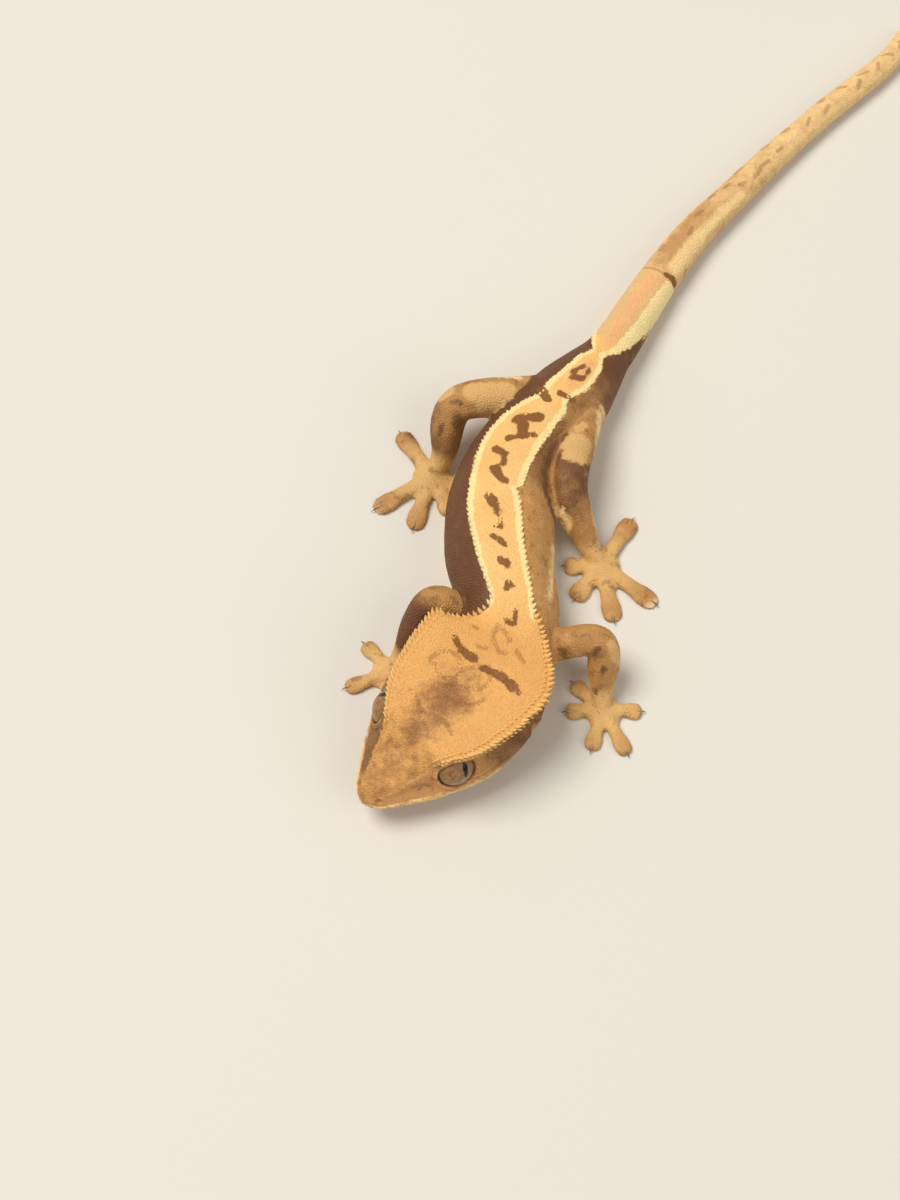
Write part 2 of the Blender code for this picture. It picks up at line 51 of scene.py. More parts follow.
# The gecko's form, the same lines as its solids: (distance behind the snout tip, value).
bodyForm = {
    "spine": [
        (-12.2, -29.2), (-4.0, -20.7), (4.1, -11.8), (7.5, -6.8), (8.5, -1.6), (7.9, 3.0),
        (7.3, 8.0), (7.4, 14.0), (8.4, 20.3), (10.9, 25.8), (15.0, 31.0), (20.1, 37.3),
        (25.2, 44.3), (29.3, 51.2), (33.7, 58.5), (39.2, 66.4), (45.3, 73.2), (51.3, 79.8),
        (57.2, 85.9), (63.0, 91.6), (68.0, 96.1), (72.4, 100.1), (76.0, 104.3), (78.6, 109.2),
    ],
    "headTop": [(0, 5.1), (0.4, 6.3), (1.5, 7.1), (4, 7.9), (8, 9.5), (12, 11.3), (16, 11.9), (21, 12.2),
                (26, 12.4)],
    "crestOut": [(0, 0), (0.4, 0.8), (1.5, 1.5), (4, 2.5), (8, 3.9), (11, 5.6), (14, 7.7), (18, 9.0),
                 (22, 9.7), (25.5, 9.9), (27.5, 8.9), (29.5, 6.7), (32, 4.7), (35, 3.6)],
    "crestUp": [(0, 5.1), (0.4, 6.1), (1.5, 6.8), (4, 7.7), (8, 9.6), (11, 11.5), (14, 12.2), (18, 12.4),
                (26, 12.7)],
    "templeOut": [(0, 0), (0.4, 1.0), (1.5, 2.0), (4, 3.3), (8, 5.2), (12, 6.8), (16, 8.2), (20, 9.0),
                  (25, 9.1)],
    "templeUp": [(0, 5.1), (0.4, 5.8), (1.5, 6.3), (4, 6.8), (8, 7.5), (12, 8.2), (16, 8.8), (20, 9.0),
                 (25, 8.9)],
    "lipOut": [(0, 0), (0.4, 1.1), (1.5, 2.4), (4, 4.2), (7, 6.2), (10, 7.8), (13, 9.3), (16, 10.3),
               (20, 10.8), (24, 10.4), (27, 9.3)],
    "lipUp": [(0, 5.1), (4, 4.9), (10, 4.6), (14, 4.9), (18, 5.8), (22, 6.3), (27, 6.2)],
    "jawOut": [(0, 0), (0.4, 0.8), (1.5, 1.8), (4, 3.1), (10, 5.6), (16, 7.2), (22, 7.4), (27, 6.7)],
    "jawUp": [(0, 5.1), (0.4, 4.4), (1.5, 4.0), (4, 3.6), (10, 3.3), (16, 3.5), (22, 3.3), (27, 2.3)],
    "chinUp": [(0, 5.1), (0.4, 4.1), (1.5, 3.6), (4, 3.2), (10, 2.9), (16, 2.8), (22, 2.4), (27, 1.3),
               (32, 0.2), (36, -0.3)],
    "body": [  # distance behind the snout tip, half the width, height
        (30.5, 7.8, 12.3), (35, 7.2, 12.5), (40, 7.4, 12.8), (46, 8.0, 13.2), (52, 8.0, 13.2),
        (58, 7.2, 12.6), (64, 6.6, 11.7), (70, 6.5, 10.8), (76, 6.1, 9.7), (81, 5.0, 8.5),
        (86, 3.8, 7.3), (94, 3.45, 6.3), (103, 3.2, 5.5), (113, 2.9, 5.0), (122, 2.65, 4.6),
        (132, 2.4, 4.3), (142, 2.2, 4.0), (154, 2.1, 3.8), (163, 1.95, 3.5), (168.5, 1.6, 2.9),
        (172.0, 1.0, 2.2),
    ],
    "crestShare": 0.5,
    "crestDrop": 0.45,
    "flank": (0.86, 0.74),
    "sideUp": 0.45,
    "belly": (0.74, 0.10),
    "bellySink": 0.3,
    "mouthCorner": 18.5,
}

# Limbs: joints from inside the body to the wrist or ankle, radii along them, and the middle of the sole.
limbForm = {
    "leftArm": {"joints": [(12.0, -6.8, 6.2), (20.9, -6.5, 8.2), (21.7, -10.9, 3.2)],
                "radii": [2.7, 2.3, 2.35, 2.35, 1.9], "palm": (21.8, -13.9),
                "digits": [(135, 5.8), (-176, 5.2), (-106, 6.4), (-63, 7.6), (-3, 5.8)]},
    "rightArm": {"joints": [(3.4, -1.6, 6.0), (-2.6, -0.6, 8.4), (-6.3, -5.7, 3.2)],
                 "radii": [2.7, 2.3, 2.35, 2.35, 1.9], "palm": (-8.4, -8.2),
                 "digits": [(-28, 5.2), (-64, 5.8), (-97, 6.6), (-160, 7.2), (133, 6.2)]},
    "leftLeg": {"joints": [(20.2, 32.6, 5.6), (17.5, 18.6, 7.9), (20.1, 12.1, 3.1)],
                "radii": [3.3, 3.2, 2.8, 2.6, 1.95], "palm": (22.4, 8.7),
                "digits": [(180, 5.4), (-127, 6.8), (-79, 9.1), (-38, 10.2), (56, 9.3)]},
    "rightLeg": {"joints": [(13.6, 34.6, 5.8), (1.4, 32.0, 8.0), (-1.0, 26.2, 3.1)],
                 "radii": [3.3, 3.1, 2.8, 2.6, 1.95], "palm": (-2.8, 23.4),
                 "digits": [(-20, 5.2), (-64, 6.8), (-108, 9.1), (-148, 10.2), (122, 9.3)]},
}
handForm = {
    "Arm": {"radius": 2.5, "height": 2.0, "pad": 1.3},
    "Leg": {"radius": 2.9, "height": 2.2, "pad": 1.55},
}
eyeForm = {"back": 12.2, "out": 5.6, "up": 7.7, "radius": 3.05, "forward": 26, "raise": 26}
rimForm = {"radius": 2.95, "thick": 0.42, "out": 1.45, "lobe": 0.5}
earForm = {"back": 23.6, "up": 6.6, "long": 1.3, "tall": 0.8, "lean": 35, "depth": 1.0}
nostrilForm = {"back": 1.6, "out": 1.9, "up": 6.45, "radius": 0.36, "depth": 0.5}


# Curves
def smoothAt(line, s):  # a cubic through the pairs that keeps to the range between neighbours
    x = np.array([pair[0] for pair in line], float)
    y = np.array([pair[1] for pair in line], float)
    slope = np.diff(y) / np.diff(x)
    product = slope[:-1] * slope[1:]
    total = slope[:-1] + slope[1:]
    inner = np.where(product > 0, 2 * product / np.where(product > 0, total, 1), 0)
    bend = np.concatenate([[slope[0]], inner, [slope[-1]]])
    s = np.clip(np.asarray(s, float), x[0], x[-1])
    i = np.clip(np.searchsorted(x, s, side="right") - 1, 0, len(x) - 2)
    width = x[i + 1] - x[i]
    t = (s - x[i]) / width
    ends = y[i] * (1 + 2 * t) * (1 - t) ** 2 + y[i + 1] * t * t * (3 - 2 * t)
    return ends + width * t * (1 - t) * (bend[i] * (1 - t) - bend[i + 1] * t)


def rounded(a, b, c, d, t):  # between b and c on the curve through all four
    square = 2 * a - 5 * b + 4 * c - d
    cube = 3 * b - a - 3 * c + d
    return 0.5 * (2 * b + (c - a) * t + square * t * t + cube * t ** 3)


def smoothStep(low, high, value):
    t = np.clip((value - low) / (high - low), 0, 1)
    return t * t * (3 - 2 * t)


def hump(value, middle, half):
    return np.exp(-((value - middle) / half) ** 2)


def unit(v):
    return v / np.maximum(np.linalg.norm(v, axis=-1, keepdims=True), 1e-12)


def makeRoute(points, steps=24):
    points = np.array(points, float)
    ends = np.vstack([2 * points[0] - points[1], points, 2 * points[-1] - points[-2]])
    made = [points[0]]
    for i in range(len(points) - 1):
        made += [rounded(*ends[i:i + 4], (k + 1) / steps) for k in range(steps)]
    made = np.array(made)
    reach = np.concatenate([[0], np.cumsum(np.linalg.norm(np.diff(made, axis=0), axis=1))])
    return {"points": made, "reach": reach, "length": reach[-1], "joints": reach[::steps]}


def routeAt(route, s):
    s = np.clip(s, 0, route["length"])
    return np.stack([np.interp(s, route["reach"], column) for column in route["points"].T], axis=-1)


def routeHeading(route, s, reach=0.6):
    return unit(routeAt(route, s + reach) - routeAt(route, s - reach))


# The trunk: head, neck, torso and tail are one surface.
spineRoute = makeRoute([(x, y, 0) for x, y in bodyForm["spine"]])


def bodyLine(share, drop=0.0, column=1):
    return [(row[0], share * row[column] - drop) for row in bodyForm["body"]]


rails = {
    "top": bodyForm["headTop"] + bodyLine(1.0, column=2),
    "crestOut": bodyForm["crestOut"] + [p for p in bodyLine(bodyForm["crestShare"]) if p[0] > 38],
    "crestUp": bodyForm["crestUp"] + bodyLine(1.0, bodyForm["crestDrop"], column=2),
    "templeOut": bodyForm["templeOut"] + bodyLine(bodyForm["flank"][0]),
    "templeUp": bodyForm["templeUp"] + bodyLine(bodyForm["flank"][1], column=2),
    "lipOut": bodyForm["lipOut"] + bodyLine(1.0),
    "lipUp": bodyForm["lipUp"] + bodyLine(bodyForm["sideUp"], column=2),
    "jawOut": bodyForm["jawOut"] + bodyLine(bodyForm["belly"][0]),
    "jawUp": bodyForm["jawUp"] + bodyLine(bodyForm["belly"][1], column=2),
    "chinUp": bodyForm["chinUp"] + [(spineRoute["length"], -bodyForm["bellySink"])],
}


def trunkFrame(s):
    back = routeHeading(spineRoute, s)
    left = np.stack([back[..., 1], -back[..., 0], np.zeros_like(back[..., 0])], axis=-1)
    return routeAt(spineRoute, s), back, left


def trunkPoints(s, turn, swell=0.0):
    # turn runs from 0 on the back over the left side to 5 underneath, and on to 10 over the right
    s, turn, swell = np.broadcast_arrays(np.asarray(s, float), turn, swell)
    s, turn, swell = s.ravel(), turn.ravel(), swell.ravel()
    line = {name: smoothAt(pairs, s) for name, pairs in rails.items()}
    zero = np.zeros_like(s)
    half = [(line[side + "Out"], line[side + "Up"]) for side in ("crest", "temple", "lip", "jaw")]
    ring = [(zero, line["top"]), *half, (zero, line["chinUp"]), *[(-out, up) for out, up in reversed(half)]]
    ring = np.array([np.stack(pair, axis=-1) for pair in ring])
    whole = np.floor(turn).astype(int)
    t = (turn - whole)[:, None]
    each = np.arange(len(s))
    near = [ring[(whole + k) % 10, each] for k in (-1, 0, 1, 2)]
    flat = rounded(*near, t)
    ahead = unit(rounded(*near, np.minimum(t + 0.02, 1)) - rounded(*near, np.maximum(t - 0.02, 0)))
    flat = flat + swell[:, None] * np.stack([-ahead[:, 1], ahead[:, 0]], axis=-1)
    centre, _, left = trunkFrame(s)
    points = centre + flat[:, :1] * left
    points[:, 2] = np.where(swell >= 0, np.maximum(flat[:, 1], 0), flat[:, 1])
    return points


def frameAt(s):
    # the spine's place, its heading back and its left, at one distance
    return (v[0] for v in trunkFrame(np.array([s])))


def headPoint(back, out, up):
    centre, _, left = trunkFrame(np.array([back]))
    return (centre + out * left)[0] + np.array([0, 0, up])


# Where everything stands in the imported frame: the left eye's middle ties the layout to it.
eyeLow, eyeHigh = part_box("eye_left")
eyeCentre = headPoint(eyeForm["back"], eyeForm["out"], eyeForm["up"])
layoutShift = (np.array(eyeLow) + np.array(eyeHigh)) / 2 / mm - eyeCentre
print("layout shift, mm:", [round(float(v), 2) for v in layoutShift])


def inFrame(points):
    return (np.asarray(points) + layoutShift) * mm


# Small mesh helpers. A shell is (points, faces) in layout millimetres.
def ringFaces(rows, columns):
    r, c = np.meshgrid(np.arange(rows - 1), np.arange(columns), indexing="ij")
    a = (r * columns + c).ravel()
    b = (r * columns + (c + 1) % columns).ravel()
    return np.stack([a, b, b + columns, a + columns], axis=-1)


def closedLoft(rings, startTip=None, endTip=None):
    rings = np.asarray(rings)
    rows, columns = rings.shape[:2]
    startTip = rings[0].mean(axis=0) if startTip is None else startTip
    endTip = rings[-1].mean(axis=0) if endTip is None else endTip
    points = np.vstack([rings.reshape(-1, 3), startTip, endTip])
    around = np.arange(columns)
    after = (around + 1) % columns
    last = (rows - 1) * columns
    faces = ringFaces(rows, columns).tolist()
    faces += [(int(b), int(a), rows * columns) for a, b in zip(around, after)]
    faces += [(int(last + a), int(last + b), rows * columns + 1) for a, b in zip(around, after)]
    return points, faces


def meshObject(name, points, faces, scaled=True):
    mesh = bpy.data.meshes.new(name)
    mesh.from_pydata((inFrame(points) if scaled else np.asarray(points)).tolist(), [], faces)
    mesh.update()
    made = bpy.data.objects.new(name, mesh)
    bpy.context.scene.collection.objects.link(made)
    return made


def joinShells(shells):
    points, faces, base = [], [], 0
    for shellPoints, shellFaces in shells:
        points.append(shellPoints)
        faces += [tuple(int(k) + base for k in face) for face in shellFaces]
        base += len(shellPoints)
    return np.vstack(points), faces


def applyModifiers(made):
    bpy.context.view_layer.update()
    graph = bpy.context.evaluated_depsgraph_get()
    fresh = bpy.data.meshes.new_from_object(made.evaluated_get(graph))
    made.modifiers.clear()
    old = made.data
    made.data = fresh
    bpy.data.meshes.remove(old)


def meshPoints(mesh):
    points = np.empty(len(mesh.vertices) * 3, np.float32)
    mesh.vertices.foreach_get("co", points)
    return points.reshape(-1, 3).astype(float)


def meshNormals(mesh):
    normals = np.empty(len(mesh.vertices) * 3, np.float32)
    mesh.vertex_normals.foreach_get("vector", normals)
    return normals.reshape(-1, 3).astype(float)


def movePoints(mesh, points):
    mesh.vertices.foreach_set("co", points.astype(np.float32).ravel())
    mesh.update()


def facesOutward(made):
    bm = bmesh.new()
    bm.from_mesh(made.data)
    bmesh.ops.recalc_face_normals(bm, faces=bm.faces)
    bm.to_mesh(made.data)
    bm.free()


# The skin: shells of trunk, limbs, hands and eye rims, grown into one closed surface.
skinSettings = {
    "voxel": 0.2,
    "smoothing": 3,
    "jointSmoothing": 30,
    "triangles": 190000,
    "coatDepth": 0.06,
    "lipBulge": 0.16,
    "mouthDepth": 0.45,
    "mouthHalf": 0.055,  # as a share of one step round the ring
}
# Soft forms on the trunk: height, then middle and half width round the ring, or along the spine.
reliefForm = {
    "lipTurns": (2.84, 3.16), "lipHalf": 0.12,
    "snoutEdge": {"height": 0.25, "turn": (1.15, 0.25), "along": (6.5, 3.5)},
    "snoutHollow": {"height": 0.3, "turn": (1.9, 0.35), "along": (5.5, 2.5)},
    "backRidge": {"height": 0.14, "turn": (0, 0.25)},
    "flankFold": {"height": 0.22, "turn": (3.15, 0.16)},
    "neckCreases": [(29.6, 0.16), (31.1, 0.2), (32.7, 0.16), (34.6, 0.12), (37.2, 0.1)],  # place, depth
    "creaseHalf": 0.3,
    "neckInside": (7.4, 1.0),
    "tailRings": {"depth": 0.05, "gap": 3.1, "place": (1.5, 0.3)},
    "tailNotch": {"depth": 0.25, "along": (102.3, 0.5), "turn": (2.2, 1.2)},
}


def trunkRelief(s, turn):
    fold = np.minimum(turn, 10 - turn)
    cfg, form = skinSettings, reliefForm
    fade = np.clip((bodyForm["mouthCorner"] - s) / 2.0, 0, 1) * np.clip(s / 1.5, 0.3, 1)
    groove = cfg["mouthDepth"] * fade * hump(fold, 3, cfg["mouthHalf"])
    upperLip, lowerLip = (hump(fold, place, form["lipHalf"]) for place in form["lipTurns"])
    lips = cfg["lipBulge"] * fade * (upperLip + lowerLip)
    edge, hollow = (form[name]["height"] * hump(fold, *form[name]["turn"]) * hump(s, *form[name]["along"])
                    for name in ("snoutEdge", "snoutHollow"))
    back, flank = (form[name]["height"] * hump(fold, *form[name]["turn"])
                   for name in ("backRidge", "flankFold"))
    back = back * smoothStep(34, 44, s) * (1 - smoothStep(76, 90, s))
    flank = flank * smoothStep(37, 44, s) * (1 - smoothStep(74, 82, s))
    creases = 0.0
    inner = hump(turn, *form["neckInside"])
    for place, deep in form["neckCreases"]:
        creases = creases + deep * inner * hump(s, place, form["creaseHalf"])
    rings = form["tailRings"]
    ring = rings["depth"] * smoothStep(88, 100, s) * hump(s % rings["gap"], *rings["place"])
    cut = form["tailNotch"]
    notch = cut["depth"] * hump(s, *cut["along"]) * (0.3 + 0.7 * hump(turn, *cut["turn"]))
    return lips - groove + edge - hollow + back + flank - creases - ring - notch


def trunkShell():
    side = np.concatenate([np.arange(0, 2.7, 0.09), np.arange(2.7, 3.3, 0.025), np.arange(3.3, 5.0, 0.12)])
    turns = np.concatenate([side, [5.0], 10 - side[:0:-1]])
    places = np.concatenate([np.arange(0.12, 29, 0.22), np.arange(29, 86, 0.35), np.arange(86, 171.8, 0.45)])
    s, turn = np.meshgrid(places, turns, indexing="ij")
    points = trunkPoints(s, turn, 0.0)
    lifted = trunkPoints(s, turn, 0.1) - trunkPoints(s, turn, 0.0)
    points = points + lifted * (trunkRelief(s, turn).ravel() / 0.1)[:, None]
    points[:, 2] = np.maximum(points[:, 2], 0)
    rings = points.reshape(*s.shape, 3)
    end = routeAt(spineRoute, spineRoute["length"]) + 0.8 * routeHeading(spineRoute, spineRoute["length"])
    return closedLoft(rings, trunkPoints(0.0, 3.0)[0], end + np.array([0, 0, 1.0]))


def limbRoute(limb):
    return makeRoute(limb["joints"] + [(*limb["palm"], 1.1)])


def limbMarks(limb, route):
    start, elbow, wrist = route["joints"][:3]
    marks = [start, (start + elbow) / 2, elbow, (elbow + wrist) / 2, wrist]
    return list(zip(marks, limb["radii"])) + [(route["length"], 1.2)]


def limbShell(limb):
    route = limbRoute(limb)
    places = np.linspace(0, route["length"], 70)
    radii = smoothAt(limbMarks(limb, route), places)
    across = unit(np.cross(routeHeading(route, 0.0), [0, 0, 1]))
    rings = []
    for s, radius in zip(places, radii):
        ahead = routeHeading(route, s)
        across = unit(across - across.dot(ahead) * ahead)
        over = np.cross(ahead, across)
        turn = np.linspace(0, math.tau, 28, endpoint=False)[:, None]
        ring = routeAt(route, s) + radius * (np.cos(turn) * across + np.sin(turn) * over)
        ring[:, 2] = np.maximum(ring[:, 2], 0)
        rings.append(ring)
    return closedLoft(rings)


def soleSection(centre, across, half, height, columns=20):
    turn = np.linspace(0, math.tau, columns, endpoint=False)
    wide = np.sign(np.cos(turn)) * np.abs(np.cos(turn)) ** 0.8
    lift = np.where(np.sin(turn) > 0, 0.62, 0.38) * np.sign(np.sin(turn)) * np.abs(np.sin(turn)) ** 0.75
    ring = centre + half * wide[:, None] * across
    ring[:, 2] = height * (0.38 + lift)
    return ring


digitProfile = {
    "half": [(0.05, 1.0), (0.25, 0.84), (0.42, 0.76), (0.58, 0.8), (0.74, 1.0), (0.89, 0.95), (0.96, 0.72),
             (1, 0.4)],
    "height": [(0.05, 1.8), (0.3, 1.6), (0.5, 1.35), (0.74, 1.05), (0.89, 0.92), (1, 0.6)],
}


def digitShell(palm, direction, length, pad):
    turned = math.radians(direction)
    ahead = np.array([math.cos(turned), math.sin(turned), 0])
    across = np.cross(ahead, [0, 0, 1])
    shares = np.concatenate([np.linspace(0.05, 0.85, 22), np.linspace(0.88, 0.995, 7)])
    half = smoothAt(digitProfile["half"], shares) * pad
    height = smoothAt(digitProfile["height"], shares)
    height = height + 0.12 * hump(shares, 0.5, 0.06)  # a knuckle
    rings = [soleSection(palm + share * length * ahead, across, wide, tall)
             for share, wide, tall in zip(shares, half, height)]
    return closedLoft(rings, None, palm + length * ahead + np.array([0, 0, 0.3]))


webForm = {"reach": 0.64, "dip": 0.3, "height": 0.95, "widest": 80}


def webShell(palm, first, second):
    # the thin skin between two toes
    turns = np.radians(np.linspace(first[0], second[0], 9))
    share = np.linspace(0, 1, 9)
    reach = webForm["reach"] * (first[1] * (1 - share) + second[1] * share)
    reach = reach * (1 - webForm["dip"] * np.sin(math.pi * share))
    rim = palm[:2] + reach[:, None] * np.stack([np.cos(turns), np.sin(turns)], axis=1)
    outline = np.vstack([palm[:2], rim])
    rings = []
    for level, inset in ((0.04, 0.97), (0.5, 1.0), (0.9, 0.96), (1.0, 0.88)):
        flat = palm[:2] + (outline - palm[:2]) * inset
        rings.append(np.column_stack([flat, np.full(len(flat), level * webForm["height"])]))
    return closedLoft(rings)


def palmShell(palm, radius, height):
    rings = []
    for level in np.linspace(0.0, 0.97, 12):
        wide = radius * 1.03 * (1 - level ** 2.4) ** 0.5
        turn = np.linspace(0, math.tau, 28, endpoint=False)
        ring = [wide * np.cos(turn), wide * np.sin(turn), 0 * turn + level * height]
        rings.append(palm + np.stack(ring, axis=-1))
    return closedLoft(rings, palm, palm + np.array([0, 0, height]))


def eyeAxis(side):
    _, back, left = frameAt(eyeForm["back"])
    turned, raised = math.radians(eyeForm["forward"]), math.radians(eyeForm["raise"])
    level = side * math.cos(turned) * left - math.sin(turned) * back
    return math.cos(raised) * level + math.sin(raised) * np.array([0, 0, 1.0])


def eyeMiddle(side):
    return headPoint(eyeForm["back"], side * eyeForm["out"], eyeForm["up"])


def nostrilMiddle(side):
    return headPoint(nostrilForm["back"], side * nostrilForm["out"], nostrilForm["up"])


def earMiddle(side):
    return headPoint(earForm["back"], side * smoothAt(rails["lipOut"], earForm["back"]), earForm["up"])


def eyeFrame(side):
    axis = eyeAxis(side)
    across = unit(np.cross([0, 0, 1.0], axis))
    return axis, across, np.cross(axis, across)


def rimShell(side):
    axis, across, over = eyeFrame(side)
    rings = []
    turn = np.linspace(0, math.tau, 14, endpoint=False)[:, None]
    for angle in np.linspace(0, math.tau, 72, endpoint=False):
        out = math.cos(angle) * across + math.sin(angle) * over
        middle = eyeMiddle(side) + rimForm["out"] * axis + rimForm["radius"] * out
        rings.append(middle + rimForm["thick"] * (np.cos(turn) * out + np.sin(turn) * axis))
    points = np.array(rings).reshape(-1, 3)
    faces = []
    for i in range(72):
        for k in range(14):
            j, m = (i + 1) % 72, (k + 1) % 14
            faces.append((i * 14 + k, i * 14 + m, j * 14 + m, j * 14 + k))
    return points, faces


def lobeShell(side):
    # the flesh that swells behind each eye's rim
    axis, across, over = eyeFrame(side)
    radius = eyeForm["radius"] + rimForm["lobe"]
    rings = []
    for tilt in np.linspace(0.03, math.pi - 0.03, 36):
        turn = np.linspace(0, math.tau, 48, endpoint=False)[:, None]
        flat = np.cos(turn) * across + np.sin(turn) * over
        ring = radius * (math.cos(tilt) * axis + math.sin(tilt) * flat)
        ahead = np.maximum(ring @ axis - rimForm["out"], 0)[:, None]
        rings.append(eyeMiddle(side) + ring - ahead * axis)
    return closedLoft(rings)


def nearestMark(points, marks):
    # the number of the nearest mark for each point
    half = (marks ** 2).sum(axis=1) / 2
    parts = [(half - points[a:a + 50000] @ marks.T).argmin(axis=1) for a in range(0, len(points), 50000)]
    return np.concatenate(parts)


def placeOnSpine(points, step=0.4):
    # distance along the spine and to its left, by the nearest sample and then its heading
    marks = np.arange(0, spineRoute["length"], step)
    centre, back, left = trunkFrame(marks)
    near = nearestMark(points[:, :2], centre[:, :2])
    offset = points[:, :2] - centre[near, :2]
    s = marks[near] + (offset * back[near, :2]).sum(axis=1)
    u = (offset * left[near, :2]).sum(axis=1)
    return np.clip(s, 0, spineRoute["length"]), u


def ringTable():
    # the trunk's radius round its middle, for each place along it and each angle
    marks = np.arange(0, spineRoute["length"], 0.5)
    angles = np.linspace(-math.pi, math.pi, 129)
    turns = np.linspace(0, 10, 161)[:-1]
    table = np.empty((len(marks), len(angles)))
    for row, s in enumerate(marks):
        points = trunkPoints(np.full(len(turns), s), turns)
        centre, _, left = frameAt(s)
        out, up = (points - centre) @ left, points[:, 2] - middleHeight(np.array([s]))[0]
        angle, radius = np.arctan2(out, up), np.hypot(out, up)
        order = np.argsort(angle)
        angle, radius = angle[order], radius[order]
        wide = np.concatenate([angle - math.tau, angle, angle + math.tau])
        table[row] = np.interp(angles, wide, np.tile(radius, 3))
    return table


def middleHeight(s):
    return 0.5 * (smoothAt(rails["top"], s) + np.maximum(smoothAt(rails["chinUp"], s), 0))


def offTrunk(s, u, z, table):
    # how far outside the trunk's surface, along the line from its middle
    up = z - middleHeight(s)
    angle = (np.arctan2(u, up) + math.pi) / math.tau * 128
    row = np.clip(s / 0.5, 0, table.shape[0] - 1.001)
    i, j = row.astype(int), np.clip(angle.astype(int), 0, 127)
    a, b = row - i, angle - j
    radius = ((1 - a) * (1 - b) * table[i, j] + (1 - a) * b * table[i, j + 1]
              + a * (1 - b) * table[i + 1, j] + a * b * table[i + 1, j + 1])
    return np.hypot(u, up) - radius


def limbPlace(points):
    # for each point the nearest limb, the share along it, and the distance outside its tube
    count = len(points)
    best = {"gap": np.full(count, 99.0), "share": np.zeros(count), "turn": np.zeros(count)}
    best["limb"] = np.zeros(count, int)
    for number, limb in enumerate(limbForm.values()):
        route = limbRoute(limb)
        marks = np.linspace(0, route["length"], 60)
        axis = routeAt(route, marks)
        radii = smoothAt(limbMarks(limb, route), marks)
        near = nearestMark(points, axis)
        offset = points - axis[near]
        outside = np.linalg.norm(offset, axis=1) - radii[near]
        across = unit(np.cross(routeHeading(route, marks[near]), [0, 0, 1.0]))
        turn = np.arctan2(offset[:, 2], (offset * across).sum(axis=1)) / math.tau + 0.5
        better = outside < best["gap"]
        best["turn"] = np.where(better, turn, best["turn"])
        best["gap"] = np.where(better, outside, best["gap"])
        best["share"] = np.where(better, marks[near] / route["length"], best["share"])
        best["limb"] = np.where(better, number, best["limb"])
    return best


def pressPits(points, normals):
    # nostrils and ear openings, pressed into the surface
    depth = np.zeros(len(points))
    for side in (1, -1):
        gap = np.linalg.norm(points - nostrilMiddle(side), axis=1)
        depth += nostrilForm["depth"] * hump(gap, 0, nostrilForm["radius"])
        depth -= 0.1 * hump(gap, 0.62, 0.18)  # the nostril's rim
        _, back, left = frameAt(earForm["back"])
        offset = points - earMiddle(side)
        lean = math.radians(earForm["lean"])
        along = math.cos(lean) * back + math.sin(lean) * np.array([0, 0, 1.0])
        over = -math.sin(lean) * back + math.cos(lean) * np.array([0, 0, 1.0])
        oval = np.hypot(offset @ along / earForm["long"], offset @ over / earForm["tall"])
        near = np.abs(offset @ left) < 2.5
        depth += near * earForm["depth"] * (1 - smoothStep(0.55, 1.15, oval))
        depth -= near * 0.12 * hump(oval, 1.3, 0.2)  # the ear's rim
    return points - depth[:, None] * normals


def makeSkin():
    shells = [trunkShell()]
    for name, limb in limbForm.items():
        shape = handForm[name[-3:]]
        palm = np.array([*limb["palm"], 0.0])
        shells += [limbShell(limb), palmShell(palm, shape["radius"], shape["height"])]
        shells += [digitShell(palm, direction, length, shape["pad"]) for direction, length in limb["digits"]]
        toes = sorted((direction % 360, length) for direction, length in limb["digits"])
        for first, second in zip(toes, toes[1:] + [(toes[0][0] + 360, toes[0][1])]):
            if second[0] - first[0] < webForm["widest"]:
                shells.append(webShell(palm, first, second))
    for side in (1, -1):
        shells += [rimShell(side), lobeShell(side)]
    points, faces = joinShells(shells)
    skin = meshObject("skin", points, faces, scaled=False)
    grow = skin.modifiers.new("grow", "REMESH")
    grow.mode = "VOXEL"
    grow.voxel_size = skinSettings["voxel"]
    even = skin.modifiers.new("even", "SMOOTH")
    even.factor = 0.5
    even.iterations = skinSettings["smoothing"]
    applyModifiers(skin)
    points = meshPoints(skin.data)
    s, u = placeOnSpine(points)
    off = offTrunk(s, u, points[:, 2], ringTable())
    limb = limbPlace(points)
    weights = (1 - smoothStep(0.4, 1.6, np.abs(off))) * (1 - smoothStep(0.5, 1.6, limb["gap"])) * (s > 20)
    for form in limbForm.values():
        toPalm = np.linalg.norm(points[:, :2] - np.array(form["palm"]), axis=1)
        palmTop = (1 - smoothStep(2.4, 4.2, toPalm)) * smoothStep(0.7, 1.3, points[:, 2]) * (points[:, 2] < 5)
        weights = np.maximum(weights, palmTop)
    group = skin.vertex_groups.new(name="joins")
    for level in range(1, 11):
        chosen = np.nonzero((weights > (level - 0.5) / 10) & (weights <= (level + 0.5) / 10))[0]
        group.add(chosen.tolist(), level / 10, "REPLACE")
    soften = skin.modifiers.new("soften", "SMOOTH")
    soften.factor = 0.5
    soften.iterations = skinSettings["jointSmoothing"]
    soften.vertex_group = group.name
    applyModifiers(skin)
    mesh = skin.data
    movePoints(mesh, pressPits(meshPoints(mesh), meshNormals(mesh)))
    thin = skin.modifiers.new("thin", "DECIMATE")
    thin.ratio = min(1.0, skinSettings["triangles"] / (2 * len(mesh.polygons)))
    thin.use_collapse_triangulate = True
    applyModifiers(skin)
    skin.vertex_groups.clear()
    mesh = skin.data
    points = meshPoints(mesh) - skinSettings["coatDepth"] * meshNormals(mesh)
    points[:, 2] = np.maximum(points[:, 2], 0.02)
    movePoints(mesh, points)
    mesh.shade_smooth()
    print("skin:", len(mesh.vertices), "vertices,", len(mesh.polygons), "triangles")
    return skin


